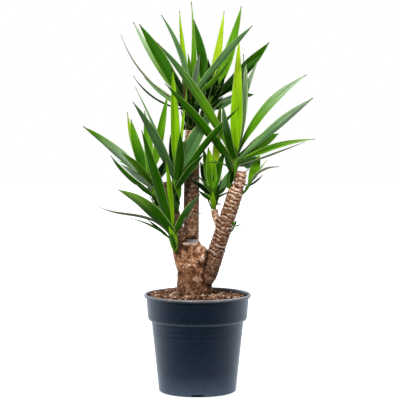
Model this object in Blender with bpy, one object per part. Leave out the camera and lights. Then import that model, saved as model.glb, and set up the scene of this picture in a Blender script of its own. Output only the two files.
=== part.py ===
# A branched yucca in a plastic nursery pot.
# Three woody canes grow from one stump. Nine leafy shoots stand in sockets in the canes and the stump.
# Axes: +X right, +Y away from the front, +Z up. The origin is the centre of the pot's foot.
# Sizes are written in millimetres and turned into metres where a mesh is made.

import math
import random
from typing import NamedTuple

import bmesh
import bpy
import numpy as np

MM = 0.001

# Clearance between pieces that touch on the real plant
GAP = 0.35

# Pot: a 240 mm nursery pot
POT_SIDES = 32
RIM_RADIUS = 121.3
RIM_HEIGHT = 222.5
LIP_UNDERSIDE = 215.3
COLLAR_TOP_RADIUS = 116.2
COLLAR_FOOT_RADIUS = 112.6
COLLAR_FOOT = 168.5
STEP_HEIGHT = 162.5
BODY_TOP_RADIUS = 104.4
BODY_FOOT_RADIUS = 88.8
BODY_FOOT = 12.0
FOOT_RADIUS = 85.4
FOOT_RING_INNER = 73.5
WALL = 1.9
RING_HEIGHTS = (142.0, 131.0)
RING_PROUD = 0.9
CHANNEL_HEIGHT = 4.0
CENTRE_DISC_RADIUS = 30.0
FLOOR = 2.4
FOOT_NOTCHES = 4
NOTCH_WIDTH = 27.0
NOTCH_HEIGHT = 6.0
NOTCH_DEPTH = 22.0
DRAIN_HOLES = 6
DRAIN_HOLE_RADIUS = 5.0
DRAIN_HOLE_SIDES = 10
DRAIN_CIRCLE = 51.0
CUTTER_SPARE = 3.0

# Soil: bark and coir, level near the rim and banked up to the stump and to the left back
SOIL_FOOT = 7.2
SOIL_EDGE_HEIGHT = 212.5
SOIL_MOUND = 9.0
SOIL_MOUND_WIDTH = 62.0
SOIL_BANK = 5.0
SOIL_ROUGHNESS = 1.8
SOIL_RINGS = 6
SOIL_EDGE_SLUMP = 2.6
SOIL_BELOW_RIM = 3.0
FACET_SLACK = 0.25
CHIP_COUNT = 24
CHIP_RING = (52.0, 100.0)
CHIP_HALF_LENGTH = (5.0, 8.0)
CHIP_HALF_WIDTH = (2.5, 4.5)
CHIP_HALF_THICKNESS = (1.2, 2.0)
CHIP_PROUD = (0.2, 1.6)
CHIP_LEAN = 0.35
CHIP_CORNERS = ((-1, -1, 0.7), (1, -1, 1.0), (1, 1, 0.8), (-1, 1, 1.0))
SOIL_SEED = 7

# Stump: its axis and radius from the buried foot to the saw cut
STUMP = (
    ((-7, 22, 150), 31), ((-7, 22, 200), 38), ((-7, 21, 228), 40), ((-8, 19, 262), 37.5),
    ((-11, 14, 300), 32.5), ((-15, 6, 326), 24), ((-16.3, -1, 341), 19.5),
)
STUMP_CUT_TILT = 10.0

# Canes: axis points and radii from inside the stump to the cut top
MIDDLE_CANE = (
    ((-14, 30, 255), 15), ((-15, 33, 300), 17.5), ((-15, 34, 345), 17.8), ((-14, 30, 422), 17.5),
    ((-12.5, 28, 540), 16.8), ((-10.5, 27, 592), 17.2),
)
LEFT_CANE = (
    ((-18, 16, 245), 15), ((-32, 10, 292), 19), ((-43, 7, 343), 18), ((-59, 4, 411), 17.5),
    ((-65, 4, 476), 17),
)
RIGHT_CANE = (
    ((8, 16, 238), 18), ((24, 9, 266), 20.5), ((33, 4, 290), 19.5), ((41, 0, 314), 18.8),
    ((52, -4, 349), 18.2), ((76.5, -8, 424), 17.5), ((86, -10, 455), 17.5), ((91, -11, 466), 13),
    ((95.5, -12, 478), 12.4), ((97.5, -12, 501), 12.8),
)
INNER_STUB = (
    ((54, 0, 358), 6), ((46, 7, 382), 7.5), ((40, 11, 400), 8), ((38, 12, 413), 8.6),
)
STUMP_SIDES = 16
STUMP_STEP = 15.0
STUMP_SEED = 3
CANE_SIDES = 11
SCAR_SPACING = 16.0
SCAR_PROUD = 0.8
STUB_SIDES = 10
STUB_STEP = 8.0

# Swellings on the stump: centre, then half width, half depth and half height
SWELLINGS = (
    ((-30, 3, 296), (20, 16, 32)),
    ((-14, 2, 283), (26, 22, 26)),
    ((8, 2, 306), (17, 18, 26)),
    ((20, 4, 262), (20, 18, 24)),
    ((-4, 0, 257), (22, 21, 17)),
    ((-20, 40, 276), (22, 17, 30)),
    ((12, 34, 286), (22, 18, 28)),
)

# Blades: a leathery strap with a shallow fold
BLADE_STATIONS = (0.0, 0.2, 0.5, 0.78, 1.0)
NARROW_STATIONS = (0.0, 0.35, 0.7, 1.0)
NARROW_BLADE = 19.5
BLADE_EDGE = 0.8
BLADE_MIDDLE = 1.3
BLADE_FOLD = 0.22
BLADE_BASE_SHARE = 0.42
BLADE_WIDEST = 0.52
BLADE_RISE_POWER = 1.3
BLADE_TAPER_POWER = 1.6
BLADE_TIP_WIDTH = 1.4
NARROW_THICKNESS = 1.0
SWAY_SCALE = 10.4
TURN_DONE = 0.35
ROOT_OFFSET = 0.4
SEAT_MARGIN = 20.0
SHOOT_AXIS = (0.02, 0.05, 1.0)

CORE_SIDES = 8
CORE_STEP = 20.0


class Leaf(NamedTuple):
    """One blade: its tip, the bow of its middle off the straight line, and how it is seated and turned."""

    tip: tuple
    bow: tuple
    seat: float
    width: float
    show: float
    sway: tuple = (0, 0, 0)


class Head(NamedTuple):
    """One shoot: its core from the hidden peg to the bud, its blades and the rule for its far side."""

    core: tuple
    leaves: tuple
    back: int = 0
    back_way: float = 0.0
    spread: float = 0.0
    reach: float = 0.0
    seed: int = 0


# Each core runs from the peg inside the wood, over the foot, to the crown and the bud.
# Each leaf has its tip, its bow, its seat on the core from 0 to 1, its width, and the share of the
# turn that shows a face to the front. A sway bends the two halves of a thin leaf opposite ways.
TOP_LEFT = Head(
    core=(((-17, 27, 580), 7.5), ((-17, 27, 592), 7.5), ((-16, 27, 604), 9.5), ((-13, 25, 668), 7.5),
          ((-12, 25, 700), 1.5)),
    leaves=(
        Leaf((-150, 150, 840), (-6, 0, -6), 0.55, 19, 0.45),
        Leaf((-134, 95, 833), (2, 0, 0), 0.4, 27, 0.5),
        Leaf((-80, -60, 849), (13, 0, 6), 0.95, 13, 0.25),
        Leaf((-41, 60, 862), (-5, 0, -1), 0.9, 14, 0.3),
        Leaf((-15, 12, 881), (2, 0, 0), 0.97, 12, 0.2),
        Leaf((5, -125, 764), (0, 0, 1), 0.95, 12, 0.2),
        Leaf((-22, 90, 765), (2, 0, 0), 0.8, 14, 0.2),
        Leaf((-173, 20, 807), (-15, 0, -14), 0.6, 9, 0.25),
        Leaf((-148, 80, 715), (-10, 0, -17), 0.5, 10, 0.25),
        Leaf((-123, 62, 712), (-2, 0, -3), 0.45, 16, 0.4),
        Leaf((120, -95, 824), (-4, 0, 5), 0.95, 18, 0.35),
        Leaf((75, -60, 754), (5, 0, -5), 0.9, 14, 0.4),
    ),
    back=6, back_way=72, spread=28, reach=187, seed=1,
)
TOP_RIGHT = Head(
    core=(((-1.5, 25, 582), 6), ((-1.5, 25, 592), 6), ((3, 24, 606), 6.8), ((24, 20, 645), 6),
          ((32, 19, 672), 1.5)),
    leaves=(
        Leaf((-8, 90, 842), (7, 0, 0), 0.9, 23, 0.3),
        Leaf((61, 90, 862), (3, 0, -1), 0.95, 20, 0.2),
        Leaf((100, 60, 873), (8, 0, -3), 0.75, 29, 0.5),
        Leaf((167, 150, 792), (1, 0, -3), 0.9, 24, 0.45),
        Leaf((131, 130, 671), (3, 0, -11), 0.7, 18, 0.45),
        Leaf((92, 44, 670), (3, 0, -6), 0.7, 16, 0.5),
        Leaf((25, 150, 750), (-3, 0, -1), 0.8, 14, 0.2),
        Leaf((35, 60, 705), (6, 0, -1), 0.95, 14, 0.2),
    ),
    back=5, back_way=74, spread=42, reach=230, seed=2,
)
LEFT = Head(
    core=(((-70, 2, 404), 4.5), ((-79, 2, 411), 5), ((-90, 3, 424), 5.8), ((-107, 5, 474), 6),
          ((-110, 6, 498), 1.5)),
    leaves=(
        Leaf((-255, -50, 603), (5, 0, 7), 0.8, 26, 0.55),
        Leaf((-166, -110, 547), (3, 0, 4), 0.75, 20, 0.4),
        Leaf((-195, -20, 537), (-7, 0, -7), 0.5, 15, 0.5),
        Leaf((-170, -70, 519), (1, 0, 2), 0.6, 18, 0.5),
        Leaf((-154, 105, 614), (-6, 0, -3), 0.95, 23, 0.3),
        Leaf((-164, 140, 630), (-9, 0, -4), 0.85, 15, 0.2),
        Leaf((-119, 90, 628), (5, 0, 0), 0.97, 16, 0.2),
        Leaf((-67, 12, 674), (-1, 0, 0), 0.9, 17, 0.8),
        Leaf((-72, -85, 529), (1, 0, 0), 0.7, 17, 0.4),
    ),
    back=5, back_way=90, spread=50, reach=195, seed=12,
)
MIDDLE = Head(
    core=(((-52, 0, 402), 5), ((-48, -8, 412), 6), ((-46, -14, 426), 7), ((-48, -18, 476), 6.5),
          ((-49, -18, 504), 1.5)),
    leaves=(
        Leaf((-56, 8, 729), (3, 0, 0), 0.97, 21, 0.45),
        Leaf((-141, -120, 659), (10, 0, 7), 0.85, 22, 0.4),
        Leaf((-138, -60, 690), (8, 0, 4), 0.9, 10, 0.05),
        Leaf((-38, -95, 590), (3, 0, 0), 0.75, 20, 0.3),
        Leaf((91, -62, 644), (-5, 0, 5), 0.8, 19, 0.5),
        Leaf((44, 20, 647), (-1, 0, 0), 0.85, 25, 0.75),
        Leaf((14, -140, 545), (-2, 0, 2), 0.6, 18, 0.3),
        Leaf((-21, 10, 667), (0, 0, 0), 0.97, 11, 0.5),
        Leaf((-63, 72, 579), (-2, 0, -1), 0.85, 15, 0.3),
        Leaf((-40, 104, 556), (0, 0, 6), 0.9, 17, 0.1),
    ),
)
LOW = Head(
    core=(((-42, -2, 304), 5), ((-46, -12, 316), 5.5), ((-50, -20, 330), 6.2), ((-57, -30, 360), 5.5),
          ((-60, -33, 382), 1.5)),
    leaves=(
        Leaf((-121, -150, 598), (-1, 0, 2), 0.9, 25, 0.2),
        Leaf((-68, -110, 529), (2, 0, 1), 0.97, 14, 0.3),
        Leaf((-175, -110, 466), (12, 0, 15), 0.7, 25, 0.55),
        Leaf((-225, -60, 428), (4, 0, 9), 0.6, 9, 0.35, (0, 0, 9)),
        Leaf((-150, -20, 395), (3, 0, 6), 0.4, 8, 0.4),
        Leaf((-115, -5, 392), (1, 0, 0), 0.3, 10, 0.4),
        Leaf((6, -80, 453), (-4, 0, 3), 0.6, 20, 0.35),
        Leaf((25, -70, 411), (-14, 0, 17), 0.4, 9, 0.1),
        Leaf((-108, 10, 434), (4, 0, 2), 0.5, 8, 0.1),
    ),
)
RIGHT = Head(
    core=(((78, -12, 448), 5.5), ((77, -14, 462), 6), ((77, -16, 480), 7), ((84, -18, 524), 7),
          ((87, -17, 556), 1.5)),
    leaves=(
        Leaf((93, -5, 803), (0, 0, 0), 0.97, 27, 0.85),
        Leaf((110, 30, 746), (7, 0, -1), 0.9, 16, 0.2),
        Leaf((138, 35, 751), (-14, 0, 3), 0.8, 13, 0.4),
        Leaf((104, 22, 764), (4, 0, -1), 0.9, 6, 0.0),
        Leaf((-89, -90, 788), (10, 0, 8), 0.9, 24, 0.55),
        Leaf((-72, -45, 698), (1, 0, 2), 0.8, 24, 0.6),
        Leaf((249, 60, 717), (-22, 0, 16), 0.8, 24, 0.55),
        Leaf((256, -60, 666), (-9, 0, 12), 0.8, 20, 0.6),
        Leaf((188, 110, 581), (-3, 0, 3), 0.85, 23, 0.5),
        Leaf((266, 10, 572), (-4, 0, 11), 0.75, 17, 0.6),
        Leaf((239, -60, 569), (1, 0, -2), 0.65, 8, 0.35),
        Leaf((146, 130, 528), (0, 0, -2), 0.75, 20, 0.5),
        Leaf((122, 30, 516), (0, 0, -2), 0.7, 12, 0.4),
        Leaf((55, -130, 653), (-4, 0, 0), 0.95, 16, 0.2),
        Leaf((60, -125, 551), (-1, 0, 0), 0.3, 12, 0.3),
        Leaf((7, -25, 601), (3, 0, 3), 0.65, 18, 0.6),
        Leaf((-15, -100, 502), (-2, 0, 20), 0.55, 8, 0.4),
    ),
    back=5, back_way=72, spread=38, reach=183, seed=8,
)
INNER = Head(
    core=(((38.3, 12, 402), 4.8), ((38, 12, 413), 5), ((37.5, 12, 421), 6), ((36, 12, 441), 5.2),
          ((36, 12, 462), 1.5)),
    leaves=(
        Leaf((54, 78, 663), (-1, 0, -1), 0.97, 17, 0.3),
        Leaf((24, 30, 553), (1, 0, 0), 0.9, 17, 0.4),
        Leaf((64, 60, 549), (-5, 0, 1), 0.8, 17, 0.3),
        Leaf((77, 20, 505), (1, 0, -1), 0.7, 15, 0.5),
        Leaf((6, 60, 518), (1, 0, 0), 0.7, 14, 0.3),
        Leaf((-9, 0, 497), (5, 0, 3), 0.6, 8, 0.35),
        Leaf((-20, -20, 484), (4, 0, 4), 0.5, 15, 0.5),
        Leaf((1, -10, 458), (-1, 0, -1), 0.4, 12, 0.5),
        Leaf((55, 14, 425), (0, 0, -3), 0.4, 6, 0.4),
    ),
    back=4, back_way=50, spread=50, reach=130, seed=1,
)
SIDE = Head(
    core=(((98, -13, 448), 3.2), ((104, -14, 453), 3.5), ((109, -15, 459), 4), ((116, -17, 470), 3.6),
          ((119, -17, 482), 1.2)),
    leaves=(
        Leaf((140, 20, 537), (1, 0, -1), 0.97, 19, 0.3),
        Leaf((157, -10, 526), (-1, 0, 1), 0.9, 6, 0.45),
        Leaf((183, -20, 511), (-7, 0, 11), 0.8, 7, 0.5),
        Leaf((145, -45, 494), (1, 0, -2), 0.6, 7, 0.3),
    ),
    back=2, back_way=108, spread=50, reach=60, seed=7,
)
SPROUT = Head(
    core=(((67, -8, 358), 2.6), ((73, -9, 363), 2.8), ((78, -10, 368), 3), ((83, -12, 377), 2.4),
          ((84, -12, 383), 1)),
    leaves=(
        Leaf((88, -15, 389), (0, 0, 0), 0.9, 7, 0.3),
        Leaf((97, -20, 382), (1, 0, -1), 0.8, 6, 0.3),
        Leaf((79, -24, 389), (0, 0, 0), 0.9, 6, 0.3),
        Leaf((88, 4, 388), (0, 0, 0), 0.8, 6, 0.3),
    ),
)
HEADS = {
    "leaves_top_left": TOP_LEFT,
    "leaves_top_right": TOP_RIGHT,
    "leaves_left": LEFT,
    "leaves_middle": MIDDLE,
    "leaves_low": LOW,
    "leaves_right": RIGHT,
    "leaves_inner": INNER,
    "leaves_side": SIDE,
    "leaves_sprout": SPROUT,
}

# Blades on the far side of a shoot, by rule: from high and steep to low and flat
GOLDEN_SHARE = 0.618
BACK_STEEPEST = 40.0
BACK_FALL = 30.0
BACK_TURN_JITTER = 4.0
BACK_SEATS = (0.95, 0.45)
BACK_SAG = (0.02, 0.07)
BACK_SLENDER = 0.11

# The six sides of a block whose corners go round its foot and then round its top
BLOCK_FACES = ((3, 2, 1, 0), (4, 5, 6, 7), (0, 1, 5, 4), (1, 2, 6, 5), (2, 3, 7, 6), (3, 0, 4, 7))

# Colours as linear values
PLASTIC = (0.022, 0.032, 0.046)
EARTH = (0.16, 0.085, 0.045)
BARK = (0.27, 0.16, 0.10)
LEAF_GREEN = (0.07, 0.22, 0.02)


def unit(vector):
    return vector / np.linalg.norm(vector)


def material(name, colour, roughness):
    made = bpy.data.materials.new(name)
    made.use_nodes = True
    shader = made.node_tree.nodes["Principled BSDF"]
    shader.inputs["Base Color"].default_value = (*colour, 1.0)
    shader.inputs["Roughness"].default_value = roughness
    shader.inputs["Metallic"].default_value = 0.0
    return made


def mesh_object(name, points, faces, smooth_angle=None):
    """Makes one closed body from points in millimetres, with its faces pointing out."""
    mesh = bpy.data.meshes.new(name)
    mesh.from_pydata([tuple(np.asarray(p, float) * MM) for p in points], [], faces)
    shape = bmesh.new()
    shape.from_mesh(mesh)
    bmesh.ops.recalc_face_normals(shape, faces=shape.faces)
    shape.to_mesh(mesh)
    shape.free()
    if smooth_angle is not None:
        mesh.shade_smooth()
        mesh.set_sharp_from_angle(angle=math.radians(smooth_angle))
    made = bpy.data.objects.new(name, mesh)
    bpy.context.scene.collection.objects.link(made)
    return made


def remove(objects):
    for item in list(objects):
        bpy.data.objects.remove(item)


def apply_boolean(body, parts, operation):
    """Joins the parts to the body, or cuts them out of it, in one step, and removes the parts."""
    group = bpy.data.collections.new(body.name + "_parts")
    bpy.context.scene.collection.children.link(group)
    for part in parts:
        bpy.context.scene.collection.objects.unlink(part)
        group.objects.link(part)
    modifier = body.modifiers.new("join_or_cut", "BOOLEAN")
    modifier.operation = operation
    modifier.operand_type = "COLLECTION"
    modifier.collection = group
    modifier.solver = "EXACT"
    modifier.use_self = True
    evaluated = body.evaluated_get(bpy.context.evaluated_depsgraph_get())
    result = bpy.data.meshes.new_from_object(evaluated)
    body.modifiers.remove(modifier)
    body.data = result
    remove(group.objects)
    bpy.data.collections.remove(group)


def keep_largest(body):
    """Splits the body into triangles, fills hollows that a join sealed and drops loose scraps."""
    shape = bmesh.new()
    shape.from_mesh(body.data)
    bmesh.ops.triangulate(shape, faces=shape.faces)
    waiting = set(shape.verts)
    largest = set()
    while waiting:
        first = waiting.pop()
        island = {first}
        front = [first]
        while front:
            vert = front.pop()
            near = {edge.other_vert(vert) for edge in vert.link_edges} - island
            island |= near
            front += near
        waiting -= island
        if len(island) > len(largest):
            largest = island
    scraps = [vert for vert in shape.verts if vert not in largest]
    bmesh.ops.delete(shape, geom=scraps, context="VERTS")
    shape.to_mesh(body.data)
    shape.free()


def ring_faces(rows, sides):
    """Triangles between neighbouring rings of points, and one flat cap at each end."""
    faces = []
    for row in range(rows - 1):
        for side in range(sides):
            low, low_next = row * sides + side, row * sides + (side + 1) % sides
            high, high_next = low + sides, low_next + sides
            faces += [(low, low_next, high_next), (low, high_next, high)]
    faces.append(tuple(reversed(range(sides))))
    faces.append(tuple((rows - 1) * sides + side for side in range(sides)))
    return faces


def turned(name, profile, sides, smooth_angle=30):
    """Turns a closed profile of radius and height round the Z axis."""
    points = []
    for radius, height in profile:
        for side in range(sides):
            angle = math.tau * side / sides
            points.append((radius * math.cos(angle), radius * math.sin(angle), height))
    faces = ring_faces(len(profile), sides)
    return mesh_object(name, points, faces, smooth_angle)


def route_points(knots, step):
    """Points and radii about one step apart on a smooth curve through the knots."""
    places = np.array([place for place, _ in knots], float)
    radii = np.array([radius for _, radius in knots], float)
    padded = np.vstack([2 * places[0] - places[1], places, 2 * places[-1] - places[-2]])
    made = []
    for index in range(len(places) - 1):
        before, start, end, after = padded[index:index + 4]
        pieces = max(1, round(np.linalg.norm(end - start) / step))
        for piece in range(pieces):
            share = piece / pieces
            curve = (2 * start + (end - before) * share
                     + (2 * before - 5 * start + 4 * end - after) * share ** 2
                     + (3 * start - before - 3 * end + after) * share ** 3) / 2
            ease = share * share * (3 - 2 * share)
            made.append((curve, radii[index] + (radii[index + 1] - radii[index]) * ease))
    made.append((places[-1], radii[-1]))
    return made


def tube(name, rows, sides, relief=None, grow=0.0, end_tilt=0.0):
    """A capped tube along points and radii. The relief gives each row and angle a height in mm."""
    places = [place for place, _ in rows]
    points = []
    for index, (place, radius) in enumerate(rows):
        ahead = places[min(index + 1, len(rows) - 1)]
        behind = places[max(index - 1, 0)]
        along = unit(ahead - behind)
        if index == len(rows) - 1 and end_tilt:
            lean = math.radians(end_tilt)
            along = np.array((0.0, -math.sin(lean), math.cos(lean)))
        across = unit(np.cross((0.0, 1.0, 0.0), along))
        away = np.cross(along, across)
        for side in range(sides):
            angle = math.tau * side / sides
            proud = relief(index, angle) if relief else 0.0
            reach = radius + grow + proud
            points.append(place + across * reach * math.cos(angle) + away * reach * math.sin(angle))
    return mesh_object(name, points, ring_faces(len(rows), sides), 40)


def scarred(count, seed):
    """Bark relief: every other row stands proud as a leaf scar, and the scars waver round the cane."""
    draw = random.Random(seed)
    phases = [draw.uniform(0, math.tau) for _ in range(count)]

    def relief(row, angle):
        wave = 0.45 * math.sin(2 * angle + phases[row]) + 0.3 * math.sin(3 * angle - phases[row])
        ridge = SCAR_PROUD if row % 2 else -SCAR_PROUD
        inside = 0.0 if row in (0, count - 1) else 1.0
        return inside * (ridge + wave)

    return relief


def gnarled(seed):
    """Stump relief: long, low folds that run up and round the wood."""
    draw = random.Random(seed)
    shift = [draw.uniform(0, math.tau) for _ in range(3)]

    def relief(row, angle):
        return (1.1 * math.sin(3 * angle + 0.5 * row + shift[0])
                + 0.8 * math.sin(5 * angle - 0.8 * row + shift[1])
                + 0.5 * math.sin(2 * angle + 1.7 * row + shift[2]))

    return relief


def swelling(index, centre, half_sizes):
    """One rounded lump that is sunk into the stump."""
    shape = bmesh.new()
    bmesh.ops.create_icosphere(shape, subdivisions=2, radius=1.0)
    points = [np.array(vert.co) * half_sizes + centre for vert in shape.verts]
    faces = [tuple(vert.index for vert in face.verts) for face in shape.faces]
    shape.free()
    return mesh_object(f"swelling_{index}", points, faces)


def pot_profile():
    """Radius and height round the pot's wall: up the outside, over the lip, and down the inside."""
    outside = [
        (CENTRE_DISC_RADIUS, 0.0),
        (CENTRE_DISC_RADIUS + 2, CHANNEL_HEIGHT),
        (FOOT_RING_INNER - 2, CHANNEL_HEIGHT),
        (FOOT_RING_INNER, 0.0),
        (FOOT_RADIUS, 0.0),
        (BODY_FOOT_RADIUS - 0.8, 2.6),
        (BODY_FOOT_RADIUS, BODY_FOOT),
    ]
    slope = (BODY_TOP_RADIUS - BODY_FOOT_RADIUS) / (STEP_HEIGHT - BODY_FOOT)

    def body_radius(height):
        return BODY_FOOT_RADIUS + slope * (height - BODY_FOOT)

    for height in sorted(RING_HEIGHTS):
        outside += [
            (body_radius(height - 2.0), height - 2.0),
            (body_radius(height) + RING_PROUD, height),
            (body_radius(height + 2.0), height + 2.0),
        ]
    outside += [
        (BODY_TOP_RADIUS, STEP_HEIGHT - 1.0),
        (COLLAR_FOOT_RADIUS - 2.4, STEP_HEIGHT + 1.0),
        (COLLAR_FOOT_RADIUS, COLLAR_FOOT),
        (COLLAR_TOP_RADIUS, LIP_UNDERSIDE),
        (RIM_RADIUS - 1.2, LIP_UNDERSIDE),
        (RIM_RADIUS, LIP_UNDERSIDE + 1.8),
        (RIM_RADIUS - 0.3, RIM_HEIGHT - 1.6),
        (RIM_RADIUS - 2.6, RIM_HEIGHT),
        (RIM_RADIUS - 4.8, RIM_HEIGHT - 0.8),
    ]
    inside = [
        (COLLAR_TOP_RADIUS - WALL, LIP_UNDERSIDE - 4.0),
        (COLLAR_FOOT_RADIUS - WALL, COLLAR_FOOT + 1.0),
        (BODY_TOP_RADIUS - WALL, STEP_HEIGHT - 1.0),
        (BODY_FOOT_RADIUS - WALL, BODY_FOOT),
        (FOOT_RADIUS - 1.6, FLOOR),
        (FOOT_RING_INNER + 1.6, FLOOR),
        (FOOT_RING_INNER - 1.0, CHANNEL_HEIGHT + FLOOR),
        (CENTRE_DISC_RADIUS + 1.0, CHANNEL_HEIGHT + FLOOR),
        (CENTRE_DISC_RADIUS - 1.6, FLOOR),
    ]
    return outside + inside


def box_cutter(name, centre, size, turn):
    """A cutting block with its long side along the turned Y axis."""
    half = np.array(size) / 2
    points = []
    for up in (-1, 1):
        for across, along in ((-1, -1), (1, -1), (1, 1), (-1, 1)):
            x, y = across * half[0] + centre[0], along * half[1] + centre[1]
            points.append((x * math.cos(turn) - y * math.sin(turn),
                           x * math.sin(turn) + y * math.cos(turn),
                           centre[2] + up * half[2]))
    return mesh_object(name, points, BLOCK_FACES)


def build_pot():
    pot = turned("pot", pot_profile(), POT_SIDES)
    cutters = []
    notch_centre = (0, -(FOOT_RADIUS - 2.0), (NOTCH_HEIGHT - CUTTER_SPARE) / 2)
    notch_size = (NOTCH_WIDTH, NOTCH_DEPTH, NOTCH_HEIGHT + CUTTER_SPARE)
    for notch in range(FOOT_NOTCHES):
        turn = math.tau * notch / FOOT_NOTCHES
        cutters.append(box_cutter(f"notch_{notch}", notch_centre, notch_size, turn))
    for hole in range(DRAIN_HOLES):
        angle = math.tau * (hole + 0.5) / DRAIN_HOLES
        centre = np.array((math.cos(angle), math.sin(angle))) * DRAIN_CIRCLE
        low, high = CHANNEL_HEIGHT - CUTTER_SPARE, CHANNEL_HEIGHT + FLOOR + CUTTER_SPARE
        rows = [(np.array((*centre, height)), DRAIN_HOLE_RADIUS) for height in (low, high)]
        cutters.append(tube(f"drain_{hole}", rows, DRAIN_HOLE_SIDES))
    apply_boolean(pot, cutters, "DIFFERENCE")
    keep_largest(pot)
    pot.data.materials.clear()
    pot.data.materials.append(material("moulded_plastic", PLASTIC, 0.42))


def soil_height(x, y):
    """The level of the soil: a mound at the stump and a bank at the left back."""
    stump_x, stump_y = STUMP[2][0][:2]
    away = math.hypot(x - stump_x, y - stump_y)
    mound = SOIL_MOUND * math.exp(-(away / SOIL_MOUND_WIDTH) ** 2)
    bank = SOIL_BANK * max(0.0, (y - x) / RIM_RADIUS)
    return SOIL_EDGE_HEIGHT + mound + bank


def soil_wall():
    """The soil's side, which follows the inside of the pot just clear of it."""
    side = WALL + GAP + FACET_SLACK
    return [
        (FOOT_RING_INNER - 3.0, SOIL_FOOT),
        (BODY_FOOT_RADIUS - side - 0.6, BODY_FOOT + 1.0),
        (BODY_TOP_RADIUS - side, STEP_HEIGHT - 3.0),
        (BODY_TOP_RADIUS - side, STEP_HEIGHT + 1.5),
        (COLLAR_FOOT_RADIUS - side, COLLAR_FOOT + 3.4),
    ]


def soil_top(draw):
    """Rings of points over the top of the soil, from its edge to its middle."""
    edge = COLLAR_TOP_RADIUS - WALL - GAP - 2 * FACET_SLACK
    points = []
    for ring in range(SOIL_RINGS):
        radius = edge * (1 - ring / SOIL_RINGS)
        for sector in range(POT_SIDES):
            angle = math.tau * (sector + 0.5 * (ring % 2)) / POT_SIDES
            x, y = radius * math.cos(angle), radius * math.sin(angle)
            height = soil_height(x, y) + draw.uniform(-SOIL_ROUGHNESS, SOIL_ROUGHNESS)
            if ring == 0:
                height = min(height - SOIL_EDGE_SLUMP, RIM_HEIGHT - SOIL_BELOW_RIM)
            points.append((x, y, height))
    return points


def build_soil(trunk_hole):
    draw = random.Random(SOIL_SEED)
    points = []
    for radius, height in soil_wall():
        for sector in range(POT_SIDES):
            angle = math.tau * sector / POT_SIDES
            points.append((radius * math.cos(angle), radius * math.sin(angle), height))
    points += soil_top(draw)
    rows = len(points) // POT_SIDES
    faces = ring_faces(rows, POT_SIDES)
    faces.pop()
    middle = len(points)
    points.append((0.0, 0.0, soil_height(0, 0)))
    last = (rows - 1) * POT_SIDES
    for sector in range(POT_SIDES):
        faces.append((last + sector, last + (sector + 1) % POT_SIDES, middle))
    soil = mesh_object("soil", points, faces)
    chips = [bark_chip(index, draw) for index in range(CHIP_COUNT)]
    apply_boolean(soil, chips, "UNION")
    apply_boolean(soil, [trunk_hole], "DIFFERENCE")
    keep_largest(soil)
    soil.data.materials.clear()
    soil.data.materials.append(material("bark_and_coir", EARTH, 0.95))


def bark_chip(index, draw):
    """A flat chip of bark, half sunk in the soil, at a random turn and lean."""
    angle = index * math.tau * GOLDEN_SHARE
    radius = draw.uniform(*CHIP_RING)
    x, y = radius * math.cos(angle), radius * math.sin(angle)
    place = np.array((x, y, soil_height(x, y) + draw.uniform(*CHIP_PROUD)))
    half_length = draw.uniform(*CHIP_HALF_LENGTH)
    half_width = draw.uniform(*CHIP_HALF_WIDTH)
    half_thickness = draw.uniform(*CHIP_HALF_THICKNESS)
    turn = draw.uniform(0, math.tau)
    lean = draw.uniform(-CHIP_LEAN, CHIP_LEAN)
    long_way = np.array((math.cos(turn) * math.cos(lean), math.sin(turn) * math.cos(lean),
                         math.sin(lean)))
    wide_way = unit(np.cross((0, 0, 1), long_way))
    thick_way = np.cross(long_way, wide_way)
    points = []
    for up in (-1, 1):
        for along, across, cut in CHIP_CORNERS:
            points.append(place + long_way * along * half_length * cut
                          + wide_way * across * half_width * cut + thick_way * up * half_thickness)
    return mesh_object(f"chip_{index}", points, BLOCK_FACES)


def core_tube(name, head, grow=0.0):
    """A shoot's core. Grown by the clearance, the same tube cuts the shoot's socket."""
    knots = head.core
    if grow:
        start = np.array(knots[0][0], float)
        inward = unit(start - np.array(knots[1][0], float))
        knots = ((tuple(start + inward * grow), knots[0][1]),) + knots[1:]
    return tube(name, route_points(knots, CORE_STEP), CORE_SIDES, grow=grow)


def build_trunk():
    """The stump, three canes and a stub in one body, with a socket for each shoot."""
    rows = route_points(STUMP, STUMP_STEP)
    folds = gnarled(STUMP_SEED)
    trunk = tube("trunk", rows, STUMP_SIDES, folds, end_tilt=STUMP_CUT_TILT)
    hole_rows = [(rows[0][0] - (0, 0, GAP), rows[0][1])] + rows[1:]
    hole = tube("trunk_hole", hole_rows, STUMP_SIDES, folds, grow=GAP, end_tilt=STUMP_CUT_TILT)
    parts = []
    for index, knots in enumerate((MIDDLE_CANE, LEFT_CANE, RIGHT_CANE)):
        rows = route_points(knots, SCAR_SPACING / 2)
        parts.append(tube(f"cane_{index}", rows, CANE_SIDES, scarred(len(rows), index)))
    parts.append(tube("stub", route_points(INNER_STUB, STUB_STEP), STUB_SIDES))
    parts += [swelling(index, *sizes) for index, sizes in enumerate(SWELLINGS)]
    apply_boolean(trunk, parts, "UNION")
    sockets = [core_tube("socket_" + name, head, GAP) for name, head in HEADS.items()]
    apply_boolean(trunk, sockets, "DIFFERENCE")
    keep_largest(trunk)
    trunk.data.materials.clear()
    trunk.data.materials.append(material("scarred_bark", BARK, 0.85))
    return hole


def half_width(leaf, share):
    """Half the blade's width: narrow at its base, widest past its middle, then a long point."""
    if share < BLADE_WIDEST:
        rise = math.sin(math.pi / 2 * share / BLADE_WIDEST) ** BLADE_RISE_POWER
        full = BLADE_BASE_SHARE + (1 - BLADE_BASE_SHARE) * rise
    else:
        full = 1 - ((share - BLADE_WIDEST) / (1 - BLADE_WIDEST)) ** BLADE_TAPER_POWER
    return max(leaf.width * full, BLADE_TIP_WIDTH) / 2


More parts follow.
